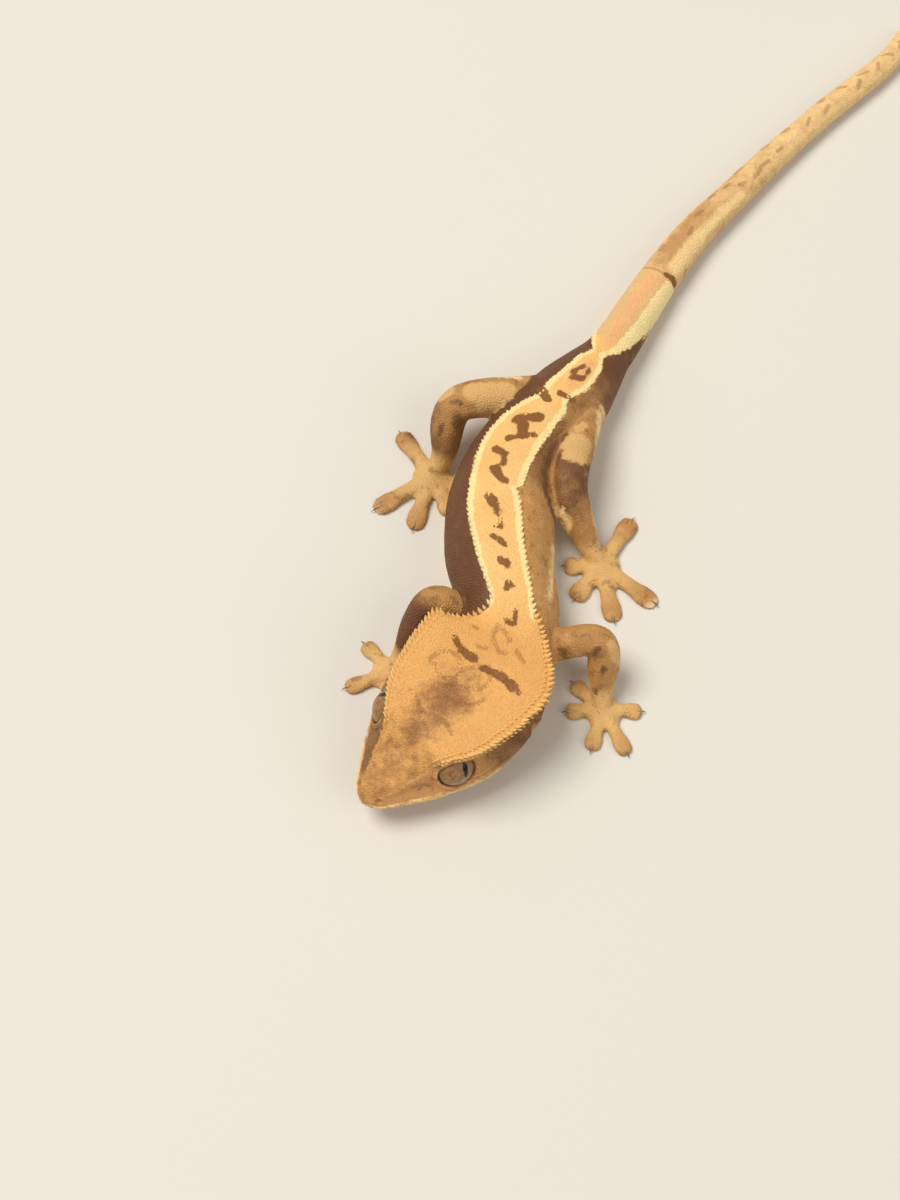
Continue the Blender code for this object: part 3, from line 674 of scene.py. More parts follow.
# Markings: fields in millimetres, above zero inside a mark, read by the materials.
stripeMarks = {
    # the stripe's two edges: (distance behind the snout tip, distance from the spine)
    "left": [(29, 6.0), (33.6, 3.2), (36.3, 2.9), (40, 3.0), (43, 3.0), (47.2, 3.0), (51, 2.6), (52.7, 2.0),
             (52.9, 2.9), (56.2, 3.3), (59.5, 3.5), (63.6, 3.5), (67.4, 3.1), (70.2, 2.7), (71.6, 1.9),
             (73.5, 2.2), (75.9, 2.6), (79.6, 2.2), (82.6, 1.0), (84.5, 2.0), (88, 2.9), (92, 3.4),
             (101, 3.9), (104, 4.5)],
    "right": [(29, 6.0), (34.9, 2.8), (38.6, 3.1), (41.6, 3.6), (44.6, 4.0), (47.4, 4.5), (50.7, 4.8),
              (55.8, 4.7), (59.6, 4.7), (62.9, 4.3), (65.5, 3.7), (68.4, 2.8), (70.5, 2.1), (72.7, 2.6),
              (76.5, 2.4), (80.1, 2.3), (82.4, 1.4), (85, 2.9), (90, 4.5)],
    "pinLeft": [(30, 0.2), (34, 0.5), (45, 0.85), (54, 1.0), (65, 0.95), (80, 0.8), (84, 1.0), (88, 1.8),
                (101, 2.2), (103, 0.1)],
    "pinRight": [(30, 0.2), (34, 0.4), (45, 0.7), (60, 0.9), (80, 0.75), (86, 0.6), (92, 0.1)],
}
# Brown strokes on the stripe, the crown and the tail: (start, end, half the width), each end as
# (distance behind the snout tip, distance to the left of the spine).
blotchStrokes = [
    ((24.9, -5.4), (24.1, -3.6), 0.55), ((24.1, -3.6), (24.2, -1.5), 0.7),
    ((24.1, 0.6), (24.5, 3.0), 0.62), ((24.5, 3.0), (24.3, 5.6), 0.72), ((24.3, 5.6), (24.1, 6.5), 0.5),
    ((64.2, -1.7), (66.4, 0.6), 0.8), ((63.9, -0.4), (62.4, 0.4), 0.85), ((60.5, -1.3), (63.2, 1.8), 0.55),
    ((58.4, -2.2), (58.0, -0.6), 0.5), ((58.0, -0.6), (56.2, -0.4), 0.5), ((55.3, -1.4), (54.6, -1.1), 0.75),
    ((54.4, -1.1), (53.5, 0.1), 0.6),
    ((50.8, -1.8), (49.6, -0.9), 0.78), ((49.4, -0.9), (48.0, -0.5), 0.5),
    ((46.2, -1.0), (46.1, 0.1), 0.36), ((44.9, -1.4), (43.3, 0.4), 0.4), ((41.2, -0.6), (40.5, 0.1), 0.6),
    ((41.0, 0.0), (40.0, 0.2), 0.3), ((37.6, -0.1), (36.8, -0.5), 0.48), ((37.0, -0.5), (37.0, 0.6), 0.25),
    ((33.4, 0.7), (31.6, 1.0), 0.3), ((31.6, 1.0), (31.6, -0.2), 0.4),
    ((70.6, -2.4), (69.9, -0.6), 0.75), ((72.1, 0.2), (72.4, 2.2), 0.6),
    ((75.6, -0.4), (76.6, 0.9), 0.55), ((76.8, -0.8), (78.7, -0.3), 0.5), ((77.8, 0.9), (78.9, 0.6), 0.3),
    ((102.2, 1.0), (102.5, 4.5), 0.42),
]
# Faint wavy lines on the crown and neck, each a run of places, and one line of painted shade in the crease in
# front of the left eye.
crownWavesAndCreaseShade = [
    [(19.8, -5.9), (21.1, -5.7), (22.2, -5.3), (22.9, -4.3), (23.2, -3.3)],
    [(23.2, -3.3), (21.6, -1.5), (20.4, -1.6), (19.4, -2.3), (19.3, -3.7), (19.9, -5.0)],
    [(21.6, -1.5), (22.8, -0.9), (24.0, 0.1)],
    [(17.5, -0.6), (17.8, 1.0), (18.4, 2.1), (19.7, 3.3), (20.6, 3.6)],
    [(20.8, 1.7), (20.4, 0.5), (19.9, -0.9), (18.4, -1.8)],
    [(24.3, 0.9), (23.7, 2.1), (22.6, 2.5), (21.4, 2.2)],
    [(14.0, -1.3), (14.6, 0.2), (14.9, 1.8), (14.2, 3.6)],
    [(15.0, -4.7), (14.6, -3.1), (13.8, -1.5)],
    [(28.9, -4.4), (28.7, -3.5)],
    [(30.8, -1.2), (29.2, -1.3), (28.2, -0.9), (27.1, 0.8), (27.5, 1.9)],
    [(30.3, -0.3), (29.3, 1.2)],
    [(28.4, 2.8), (27.6, 4.4)],
    [(32.1, -0.5), (31.5, 0.8)],
    # painted shade in the crease in front of the left eye
    [(9.2, 4.3), (10.2, 5.1)],
    [(26.0, -2.2), (26.6, -0.9)],
]
tailFlecks = [
    ((102.0, -4.5), (102.1, 0.9), 0.2), ((103.6, -3.4), (104.6, -3.3), 0.5),
    ((106.0, -2.2), (107.2, -2.1), 0.35), ((111.0, 0.2), (112.4, -0.2), 0.3),
    ((115.0, -1.2), (116.2, -0.9), 0.35), ((119.4, -2.0), (120.4, -1.9), 0.4),
    ((122.4, -1.4), (123.6, -1.2), 0.35), ((124.2, 0.2), (125.4, 0.6), 0.3),
    ((127.4, 1.0), (129.4, 0.7), 0.32), ((126.2, -2.1), (127.8, -2.0), 0.4),
    ((130.0, 0.5), (131.6, 0.7), 0.3), ((134.0, 0.5), (135.2, 0.6), 0.3),
    ((133.0, -1.9), (134.4, -1.8), 0.35), ((138.2, -1.6), (139.2, -1.5), 0.45),
    ((141.8, 0.4), (143.0, -0.2), 0.3), ((147.2, -1.7), (148.0, -1.6), 0.5),
    ((146.0, 0.8), (147.4, 0.3), 0.3), ((151.6, -1.3), (152.4, -0.6), 0.35),
    ((154.0, 0.9), (155.2, 0.2), 0.35), ((156.0, -0.9), (157.6, -0.3), 0.3),
    ((159.2, 0.6), (160.4, -0.4), 0.3), ((162.6, -0.8), (163.6, 0.4), 0.3),
    ((166.0, 0.5), (167.0, -0.3), 0.3),
]
waveHalf = 0.33
tailCream = [((104.4, 1.7), (112.0, 1.7), 1.0), ((112.0, 1.7), (123.5, 1.5), 0.6)]
tailOrange = [((75.0, 0.2), (80.0, 0.2), 0.6), ((85.5, -0.2), (100.5, -0.5), 0.9)]
# Marks on the limbs and flanks as seen from above: (x, y), (x, y), half the width.
palePatches = [
    ((17.8, 24.4), (19.2, 24.0), 1.7), ((17.6, 22.2), (19.2, 21.8), 1.25),
    ((18.9, 26.6), (19.8, 27.4), 0.7), ((3.4, 32.6), (8.4, 33.2), 1.5), ((5.0, 30.8), (7.4, 31.8), 1.1),
    ((-0.9, 32.6), (-0.2, 33.2), 1.0), ((23.4, -8.8), (22.8, -7.6), 0.8),
]
creamEdges = [
    ((22.5, 30.5), (22.3, 25.5), 0.5), ((22.3, 25.5), (21.6, 20.2), 0.5),
    ((21.6, 20.2), (21.1, 16.5), 0.45), ((21.1, 16.5), (21.7, 13.2), 0.45),
    ((21.7, 13.2), (23.8, 11.0), 0.45), ((6.8, 36.6), (10.4, 36.0), 0.5),
    ((15.2, 14.4), (16.2, 14.1), 0.35), ((16.2, 14.1), (17.5, 12.4), 0.35),
    ((23.0, 31.8), (23.6, 31.2), 0.5), ((15.0, 8.4), (14.6, 3.6), 0.3), ((14.6, 3.6), (14.1, -0.8), 0.3),
]
# Dark spots, and lines of painted shade: the run from (17.3, 25.9) to (15.2, 13.4) is shade in the crease
# between the left leg's inner edge and the body, and the run from (16.4, 19.0) to (19.7, 20.0) is shade below
# the thigh's pale patch at the knee.
darkSpotsAndShadeLines = [
    ((15.4, -7.9), (16.2, -8.3), 0.4), ((20.4, -8.4), (20.9, -8.3), 0.35),
    ((21.8, -10.2), (21.5, -10.6), 0.35), ((20.2, -12.2), (20.8, -12.5), 0.3),
    ((1.3, 28.9), (0.9, 28.4), 0.6), ((3.0, 27.0), (2.6, 26.4), 0.45), ((-1.2, 27.9), (-1.5, 27.3), 0.4),
    ((0.6, 31.0), (1.6, 30.6), 0.35), ((17.3, 25.9), (14.8, 23.0), 0.35),
    ((14.8, 23.0), (13.8, 19.6), 0.4), ((13.8, 19.6), (13.9, 15.9), 0.42),
    ((13.9, 15.9), (15.2, 13.4), 0.4), ((16.4, 19.0), (17.8, 19.3), 0.3),
    ((17.8, 19.3), (19.7, 20.0), 0.28), ((19.4, 8.6), (20.0, 8.2), 0.35), ((23.4, 7.4), (23.9, 6.8), 0.3),
    ((18.4, 15.4), (18.0, 14.6), 0.35),
]


def strokeField(points, strokes):
    best = np.full(len(points), -9.0)
    for start, end, half in strokes:
        start, run = np.array(start), np.array(end) - np.array(start)
        t = np.clip(((points - start) @ run) / (run @ run), 0, 1)
        best = np.maximum(best, half - np.linalg.norm(points - start - t[:, None] * run, axis=1))
    return best


waveAndCreaseShadeStrokes = [(a, b, waveHalf) for wave in crownWavesAndCreaseShade for a, b in zip(wave, wave[1:])]


def softBand(value, low, high, soft):
    return smoothStep(low - soft, low + soft, value) * (1 - smoothStep(high - soft, high + soft, value))


# Browner stretches of the limbs: start, end and softness as shares of the limb, and how brown.
limbShades = {
    "rightArm": (0.35, 0.85, 0.1, 0.85),
    "leftLeg": (0.38, 0.7, 0.06, 0.72),
    "rightLeg": (0.52, 0.9, 0.08, 0.6),
}


def brownAndShadeField(s, u, z, onLimb, limb):
    # how brown the flanks, the face and the limbs are, from 0 to 1, with painted shade over the right side,
    # the side turned from the light
    shadedRightSide = smoothStep(0.5, -0.5, u)
    # painted shade: the whole right flank, from the neck to the tail's base, darkened as the side away from
    # the light
    dark = shadedRightSide * softBand(s, 29.5, 88, 2.5) * 0.95
    dark = np.maximum(dark, (1 - shadedRightSide) * softBand(s, 53, 100, 3.0) * (0.5 + 0.4 * smoothStep(74, 84, s)))
    faceHigh = smoothStep(0.1, 1.1, z - smoothAt(rails["lipUp"], s) + 0.9 * smoothStep(17, 21, s))
    slanted = s + 0.45 * (z - 9.0)
    face = 0.6 * softBand(slanted, 15.0, 27.0, 1.8) * faceHigh
    dark = dark * smoothStep(27.5, 30.5, slanted) + face * (1 - smoothStep(27.5, 30.5, slanted))
    # painted shade on the right side of the face as well
    dark = np.maximum(dark, 0.8 * shadedRightSide * softBand(s, 2.5, 15, 1.5) * faceHigh * (s < 29))
    dark = dark * (1 - onLimb)
    names = list(limbForm)
    for name, (low, high, soft, share) in limbShades.items():
        stretch = (limb["limb"] == names.index(name)) * onLimb * softBand(limb["share"], low, high, soft)
        dark = np.maximum(dark, share * stretch)
    return np.clip(dark, 0, 1)


def openingShadeField(points, s, lipGap):
    # the painted shade in the mouth's line, round the eye sockets and in the nostrils
    openings = np.where(s < bodyForm["mouthCorner"] + 0.5, 0.24 - lipGap, -2.0)
    for side in (1, -1):
        toEye = np.linalg.norm(points - eyeMiddle(side), axis=1)
        openings = np.maximum(openings, eyeForm["radius"] + 0.2 - toEye)
        toNostril = np.linalg.norm(points - nostrilMiddle(side), axis=1)
        openings = np.maximum(openings, 0.4 - toNostril)
    return openings


def crownHaze(s, u):
    # the brown haze on the crown and the snout
    shade = 0.85 * np.clip(1 - np.hypot((s - 17.0) / 8.0, (u + 0.4) / 5.2), 0, 1) ** 0.9
    shade = np.maximum(shade, 0.7 * np.clip(1 - np.hypot((s - 12.0) / 7.0, (u + 0.6) / 4.4), 0, 1) ** 0.9)
    shade = np.maximum(shade, 0.45 * (1 - smoothStep(8, 14, s)))
    return np.where(s < 31, shade, 0)


def markFields(points, table):
    s, u = placeOnSpine(points)
    z = points[:, 2]
    off = offTrunk(s, u, z, table)
    limb = limbPlace(points)
    top = smoothAt(rails["top"], s)
    rise = z / top
    onLimb = smoothStep(0.25, 0.9, off) * (s > 18) * (1 - smoothStep(1.0, 2.5, limb["gap"]))
    hands = [np.array([*limbForm[name]["palm"], 0.0]) for name in limbForm]
    toHand = np.min([np.linalg.norm(points - hand, axis=1) for hand in hands], axis=0)
    onLimb = np.maximum(onLimb, (1 - smoothStep(8, 11, toHand)) * (z < 4.5) * (off > 0.4))
    # the pale stripe down the back, with the crown in front of it
    left = smoothAt(stripeMarks["left"], s)
    right = smoothAt(stripeMarks["right"], s)
    crown = smoothAt(rails["crestOut"], s) + 0.15 - np.abs(u)
    body = np.minimum(left - u, u + right)
    blend = smoothStep(29.5, 33.5, s)
    field = crown * (1 - blend) + body * blend
    field = np.minimum(field, (rise - 0.8) * 14 * (1 - smoothStep(84, 92, s)) + 9 * smoothStep(84, 92, s))
    brow = (z - np.minimum(smoothAt(rails["crestUp"], s), top - 0.1) + 0.55) * 1.6
    field = np.where(s < 33, np.minimum(field, brow + 4 * smoothStep(29, 33, s)), field)
    field = field - 4 * onLimb
    # the cream line along each of its edges
    pinWidth = np.where(u > 0, smoothAt(stripeMarks["pinLeft"], s), smoothAt(stripeMarks["pinRight"], s))
    pin = np.minimum(field, pinWidth - field)
    pin = pin - 3 * (1 - smoothStep(29.5, 33, s)) - 3 * smoothStep(101.4, 102.2, s)
    flat = np.stack([s, u], axis=1)
    upper = -6 * smoothStep(0.2, 0.5, 0.75 - rise) - 6 * onLimb
    lipGap = np.hypot(np.abs(u) - smoothAt(rails["lipOut"], s), z - smoothAt(rails["lipUp"], s))
    low = 6 * (1 - smoothStep(2.0, 3.4, z))
    above = points[:, :2]
    cream = np.maximum(strokeField(flat, tailCream) + upper, strokeField(above, creamEdges) - low)
    lip = (0.6 - lipGap) - 3 * smoothStep(16.5, 19, s)
    cream = np.maximum(cream, np.where(s < 20, lip, -9))
    tan = softBand(s, 103.5, 118, 1.5) * smoothStep(0.9, 0.2, u) * smoothStep(-2.6, -1.6, u)
    fields = {
        "along": s,
        "topField": field,
        "pinField": pin,
        "blotch": strokeField(flat, blotchStrokes) + upper,
        "faint": strokeField(flat, waveAndCreaseShadeStrokes + tailFlecks) + upper,
        "cream": cream,
        "orange": strokeField(flat, tailOrange) + upper,
        "patch": strokeField(above, palePatches) - low,
        "spotsAndShade": strokeField(above, darkSpotsAndShadeLines) - low,
        "darkness": brownAndShadeField(s, u, z, onLimb, limb),
        "gold": onLimb * (1 - smoothStep(3.0, 8.5, toHand)) * (1 - smoothStep(3.2, 5.0, z)),
        # a lighter rosy tan on the face, laid mostly on the left and little on the right: the difference
        # between the sides is painted light, with the left side lit and the right side left in painted shade
        "face": (1 - smoothStep(12, 17, s)) * (0.15 + 0.75 * smoothStep(-0.5, 0.5, u)),
        "crownShade": crownHaze(s, u),
        "belly": (1 - smoothStep(0.22, 0.42, rise)) * (1 - onLimb),
        "tan": tan * (1 - onLimb),
        "limb": onLimb,
        "mouth": openingShadeField(points, s, lipGap),
    }
    return fields, {"s": s, "u": u, "onLimb": onLimb, "lipGap": lipGap, "rise": rise, "toHand": toHand}


def storeField(mesh, name, values):
    layer = mesh.attributes.get(name) or mesh.attributes.new(name, "FLOAT", "POINT")
    layer.data.foreach_set("value", np.asarray(values, np.float32))


# Materials
skinTones = {  # as seen on screen, 0 to 255
    # flankDark is the brown of the dark markings and also the tone of the painted shade on the right side
    "flank": (200, 148, 86), "flankDark": (110, 68, 36),
    "crownGold": (233, 173, 97), "crownShade": (162, 111, 62),
    "stripe": (250, 194, 118), "pin": (255, 230, 164), "blotch": (134, 82, 26), "cream": (254, 216, 152),
    "orange": (240, 182, 124), "tail": (232, 188, 130), "limb": (190, 139, 79), "gold": (228, 182, 114),
    # mouth is the tone of the painted shade in the mouth's line, the eye sockets and the nostrils
    "patch": (222, 177, 113), "belly": (238, 208, 156), "spotsAndShade": (122, 84, 46), "mouth": (70, 42, 24),
    "fleck": (224, 178, 116), "face": (226, 164, 100),
}


def screenTone(tone):
    linear = [v / 255 for v in tone]
    return (*[v / 12.92 if v <= 0.04045 else ((v + 0.055) / 1.055) ** 2.4 for v in linear], 1.0)


def addNode(tree, kind, inputs=None, **settings):
    made = tree.nodes.new(kind)
    for key, value in settings.items():
        setattr(made, key, value)
    for key, value in (inputs or {}).items():
        if isinstance(value, bpy.types.NodeSocket):
            tree.links.new(value, made.inputs[key])
        else:
            made.inputs[key].default_value = value
    return made


def readField(tree, name):
    return addNode(tree, "ShaderNodeAttribute", attribute_name=name).outputs["Fac"]


def calc(tree, operation, a, b=0.0):
    return addNode(tree, "ShaderNodeMath", {0: a, 1: b}, operation=operation).outputs[0]


def plus(tree, a, b):
    return calc(tree, "ADD", a, b)


def times(tree, a, b):
    return calc(tree, "MULTIPLY", a, b)


def around(tree, noise, amount):  # a noise that averages 0.5, as a swing to both sides of nothing
    return times(tree, calc(tree, "SUBTRACT", noise, 0.5), amount)


def rampTo(tree, value, low, high, start=0.0, end=1.0):
    sockets = {"Value": value, "From Min": low, "From Max": high, "To Min": start, "To Max": end}
    return addNode(tree, "ShaderNodeMapRange", sockets, interpolation_type="SMOOTHSTEP").outputs["Result"]


def mixTone(tree, share, a, b):
    made = addNode(tree, "ShaderNodeMix", {0: share, 6: a, 7: b}, data_type="RGBA")
    return made.outputs[2]


def noiseAt(tree, place, scale, detail=2.0, rough=0.5):
    sockets = {"Vector": place, "Scale": scale, "Detail": detail, "Roughness": rough}
    return addNode(tree, "ShaderNodeTexNoise", sockets).outputs["Fac"]


def newGroup(name, inputs, outputs):
    group = bpy.data.node_groups.new(name, "ShaderNodeTree")
    for socketName, kind, value in inputs:
        socket = group.interface.new_socket(socketName, in_out="INPUT", socket_type=kind)
        socket.default_value = value
    for socketName, kind in outputs:
        group.interface.new_socket(socketName, in_out="OUTPUT", socket_type=kind)
    return group, group.nodes.new("NodeGroupInput"), group.nodes.new("NodeGroupOutput")


def makeMarkingsGroup():
    tones = [(name, "NodeSocketColor", screenTone(tone)) for name, tone in skinTones.items()]
    values = [("Edge Breakup", "NodeSocketFloat", 0.3), ("Mottling", "NodeSocketFloat", 0.16)]
    group, given, out = newGroup("geckoMarkings", tones + values, [("Color", "NodeSocketColor")])
    tone = given.outputs
    place = addNode(group, "ShaderNodeTexCoord").outputs["Object"]
    ragged = noiseAt(group, place, 1200, 2.0, 0.5)
    patchy = noiseAt(group, place, 260, 3.0, 0.55)
    broad = noiseAt(group, place, 90, 2.0, 0.5)
    speck = noiseAt(group, place, 3600, 1.0, 0.5)
    mottle = noiseAt(group, place, 620, 4.0, 0.65)
    breakup = times(group, around(group, ragged, tone["Edge Breakup"]), 4.0)

    def field(name):
        return readField(group, name)

    def ramp(value, low, high, start=0.0, end=1.0):
        return rampTo(group, value, low, high, start, end)

    def edge(name, soft, sway=1.0):
        return ramp(plus(group, field(name), times(group, breakup, sway)), -soft, soft)

    def paint(base, share, name):
        return mixTone(group, share, base, tone[name])

    # flanks, limbs and face
    along = field("along")
    tailShare = ramp(along, 101.5, 104.0)
    # darkness carries the painted shade of the right flank and the right face along with the brown markings,
    # laid on in flankDark
    darkness = plus(group, field("darkness"), around(group, patchy, 1.0))
    flank = paint(tone["flank"], ramp(darkness, 0.05, 0.9), "flankDark")
    flank = paint(flank, tailShare, "limb")
    limb = paint(tone["limb"], ramp(darkness, 0.35, 0.9), "flankDark")
    colour = mixTone(group, field("limb"), flank, limb)
    colour = paint(colour, field("gold"), "gold")
    # the face's lighter tone, stronger on the left: painted light on the lit side
    colour = paint(colour, field("face"), "face")
    paler = times(group, ramp(mottle, 0.54, 0.68, 0.0, 0.5), ramp(field("darkness"), 0.1, 0.7, 1.0, 0.08))
    colour = paint(colour, paler, "fleck")
    colour = paint(colour, ramp(mottle, 0.34, 0.46, 0.45, 0.0), "flankDark")
    colour = paint(colour, edge("patch", 0.3), "patch")
    # crown, stripe and tail
    shade = plus(group, field("crownShade"), around(group, mottle, 1.1))
    crown = paint(tone["crownGold"], ramp(shade, 0.1, 0.75), "crownShade")
    stripe = paint(tone["stripe"], ramp(broad, 0.35, 0.65), "cream")
    stripe = paint(stripe, 0.7, "stripe")
    stripe = paint(stripe, ramp(along, 84.5, 88.0), "tail")
    tail = paint(tone["tail"], ramp(mottle, 0.36, 0.5, 0.6, 0.0), "limb")
    tail = paint(tail, ramp(mottle, 0.56, 0.68, 0.0, 0.6), "cream")
    tail = paint(tail, ramp(along, 122, 140, 0.0, 0.45), "cream")
    tail = paint(tail, times(group, field("tan"), ramp(patchy, 0.3, 0.6, 0.35, 0.8)), "limb")
    light = mixTone(group, ramp(along, 28.5, 36.0), crown, stripe)
    light = mixTone(group, tailShare, light, tail)
    colour = mixTone(group, edge("topField", 0.14), colour, light)
    colour = paint(colour, edge("orange", 0.8), "orange")
    colour = paint(colour, edge("pinField", 0.16, 0.6), "pin")
    # belly, then the marks that lie over everything
    belly = plus(group, field("belly"), around(group, patchy, 1.6))
    colour = paint(colour, ramp(belly, 0.25, 0.75), "belly")
    colour = paint(colour, edge("cream", 0.45), "cream")
    # faint wavy lines, tail flecks and the painted shade of the eye's crease
    colour = paint(colour, times(group, edge("faint", 0.14, 0.35), 0.42), "blotch")
    # dark spots, and painted shade along the left leg's inner edge and below its knee
    colour = paint(colour, edge("spotsAndShade", 0.3), "spotsAndShade")
    blot = plus(group, field("blotch"), around(group, mottle, 1.3))
    blot = plus(group, blot, times(group, breakup, 0.4))
    colour = paint(colour, times(group, ramp(blot, -0.14, 0.16), 0.95), "blotch")
    # painted shade in the mouth's line, the eye sockets and the nostrils
    colour = paint(colour, ramp(field("mouth"), -0.05, 0.14), "mouth")
    # each scale a little lighter or darker than its neighbours
    value = plus(group, around(group, speck, tone["Mottling"]), 1.0)
    value = plus(group, value, around(group, field("grain"), 0.12))
    value = plus(group, value, around(group, patchy, 0.25))
    scaled = addNode(group, "ShaderNodeVectorMath", {0: colour, "Scale": value}, operation="SCALE").outputs[0]
    group.links.new(scaled, out.inputs["Color"])
    return group


def makeGrainGroup():
    # tiny rounded granules, for the bump of skin and scales
    inputs = [("Scale", "NodeSocketFloat", 2600.0), ("Wrinkle", "NodeSocketFloat", 0.3)]
    group, given, out = newGroup("granularBump", inputs, [("Height", "NodeSocketFloat")])
    place = addNode(group, "ShaderNodeTexCoord").outputs["Object"]
    sockets = {"Vector": place, "Scale": given.outputs["Scale"]}
    cells = addNode(group, "ShaderNodeTexVoronoi", sockets).outputs["Distance"]
    dome = calc(group, "SUBTRACT", 1.0, times(group, cells, cells))
    folds = times(group, noiseAt(group, place, 700, 3.0, 0.6), given.outputs["Wrinkle"])
    group.links.new(plus(group, dome, folds), out.inputs["Height"])
    return group


def newMaterial(name):
    made = bpy.data.materials.new(name)
    made.use_nodes = True
    tree = made.node_tree
    shader = tree.nodes["Principled BSDF"]
    return made, tree, shader


def placeGroup(tree, group, values=None):
    return addNode(tree, "ShaderNodeGroup", values, node_tree=group)


# Skin, scales and crest: size of the granules (per metre), depth of the bump in mm, roughness from and
# to, share of light let through, and tones that differ from skinTones.
coverSettings = {
    "geckoSkin": {"grain": 3000.0, "bump": 0.05, "rough": (0.48, 0.62), "glow": 0.12},
    "geckoScales": {"grain": 5200.0, "bump": 0.012, "rough": (0.42, 0.56), "glow": 0.1},
    "geckoCrest": {"grain": 5200.0, "bump": 0.012, "rough": (0.42, 0.55), "glow": 0.2,
                   "tones": {"crownGold": (240, 190, 118), "pin": (255, 232, 176)}},
}


def skinMaterial(name, markings, grainGroup):
    settings = coverSettings[name]
    made, tree, shader = newMaterial(name)
    own = {toneName: screenTone(tone) for toneName, tone in settings.get("tones", {}).items()}
    marks = placeGroup(tree, markings, own)
    tree.links.new(marks.outputs["Color"], shader.inputs["Base Color"])
    grain = placeGroup(tree, grainGroup, {"Scale": settings["grain"]})
    sockets = {"Height": grain.outputs["Height"], "Distance": settings["bump"] * mm, "Strength": 1.0}
    bump = addNode(tree, "ShaderNodeBump", sockets)
    tree.links.new(bump.outputs["Normal"], shader.inputs["Normal"])
    place = addNode(tree, "ShaderNodeTexCoord").outputs["Object"]
    rough = rampTo(tree, noiseAt(tree, place, 500, 2.0), 0.3, 0.7, *settings["rough"])
    tree.links.new(rough, shader.inputs["Roughness"])
    shader.inputs["Specular IOR Level"].default_value = 0.4
    shader.inputs["Subsurface Weight"].default_value = settings["glow"]
    shader.inputs["Subsurface Radius"].default_value = (1.0, 0.45, 0.2)
    shader.inputs["Subsurface Scale"].default_value = 0.6 * mm
    return made


# Granular scales, as low domes set close together over the skin.
scaleSettings = {
    "head": 0.37,  # the gap from one scale's middle to the next
    "torso": 0.36,
    "belly": 0.52,
    "tail": 0.4,
    "limb": 0.36,
    "hand": 0.31,
    "height": 0.17,  # as a share of that gap
    "candidates": 10,  # tries for each scale that fits
    "area": 0.11,  # of one scale, in square mm
    "headEnd": 29, "tailStart": 86,
    "underside": 0.3,  # as a share of the trunk's height
    "handReach": 8,
    # room left at the floor, the mouth's line, eyes, ears and nostrils, and a share of the lip for its plates
    "room": {"floor": 0.12, "mouth": 0.2, "eye": 0.3, "ear": 0.7, "nostril": 0.45, "plates": 0.36},
    "pieceEnds": {"head": 28.6, "shoulder": 57, "hip": 86},
}


def scaleSpacing(info):
    s, cfg = info["s"], scaleSettings
    spacing = np.full(len(s), cfg["torso"])
    spacing = np.where(s < cfg["headEnd"], cfg["head"], spacing)
    spacing = np.where(s > cfg["tailStart"], cfg["tail"], spacing)
    spacing = np.where((info["rise"] < cfg["underside"]) & (info["onLimb"] < 0.5), cfg["belly"], spacing)
    spacing = np.where(info["onLimb"] > 0.5, cfg["limb"], spacing)
    return np.where((info["onLimb"] > 0.5) & (info["toHand"] < cfg["handReach"]), cfg["hand"], spacing)


def scaleRoom(roots, info):
    # true where a scale may grow
    s, room = info["s"], scaleSettings["room"]
    free = roots[:, 2] > room["floor"]
    lipRoom = np.hypot(smoothAt(rails["templeOut"], s) - smoothAt(rails["lipOut"], s),
                       smoothAt(rails["templeUp"], s) - smoothAt(rails["lipUp"], s))
    plated = (s > lipSettings["start"]) & (s < lipSettings["end"]) & (info["onLimb"] < 0.5)
    free &= ~(plated & (info["lipGap"] < lipRoom * room["plates"]))
    free &= ~((s < bodyForm["mouthCorner"]) & (info["lipGap"] < room["mouth"]))
    for side in (1, -1):
        free &= np.linalg.norm(roots - eyeMiddle(side), axis=1) > eyeForm["radius"] + room["eye"]
        free &= np.linalg.norm(roots - earMiddle(side), axis=1) > room["ear"]
        free &= np.linalg.norm(roots - nostrilMiddle(side), axis=1) > room["nostril"]
    return free


def pickApart(roots, spacing, free):
    # goes through the roots in turn and takes each that keeps its spacing from those already taken
    keys = np.floor((roots - roots.min(axis=0)) / scaleSettings["belly"]).astype(int) + 1
    keys = (keys[:, 0] * 1000000 + keys[:, 1] * 1000 + keys[:, 2]).tolist()
    steps = [x * 1000000 + y * 1000 + z for x in (-1, 0, 1) for y in (-1, 0, 1) for z in (-1, 0, 1)]
    spots, gaps = roots.tolist(), (spacing ** 2).tolist()
    taken, chosen = {}, []
    for i in np.nonzero(free)[0].tolist():
        x, y, z = spots[i]
        near = (spot for step in steps for spot in taken.get(keys[i] + step, ()))
        if all((px - x) ** 2 + (py - y) ** 2 + (pz - z) ** 2 >= gaps[i] for px, py, pz in near):
            taken.setdefault(keys[i], []).append((x, y, z))
            chosen.append(i)
    return np.array(chosen)


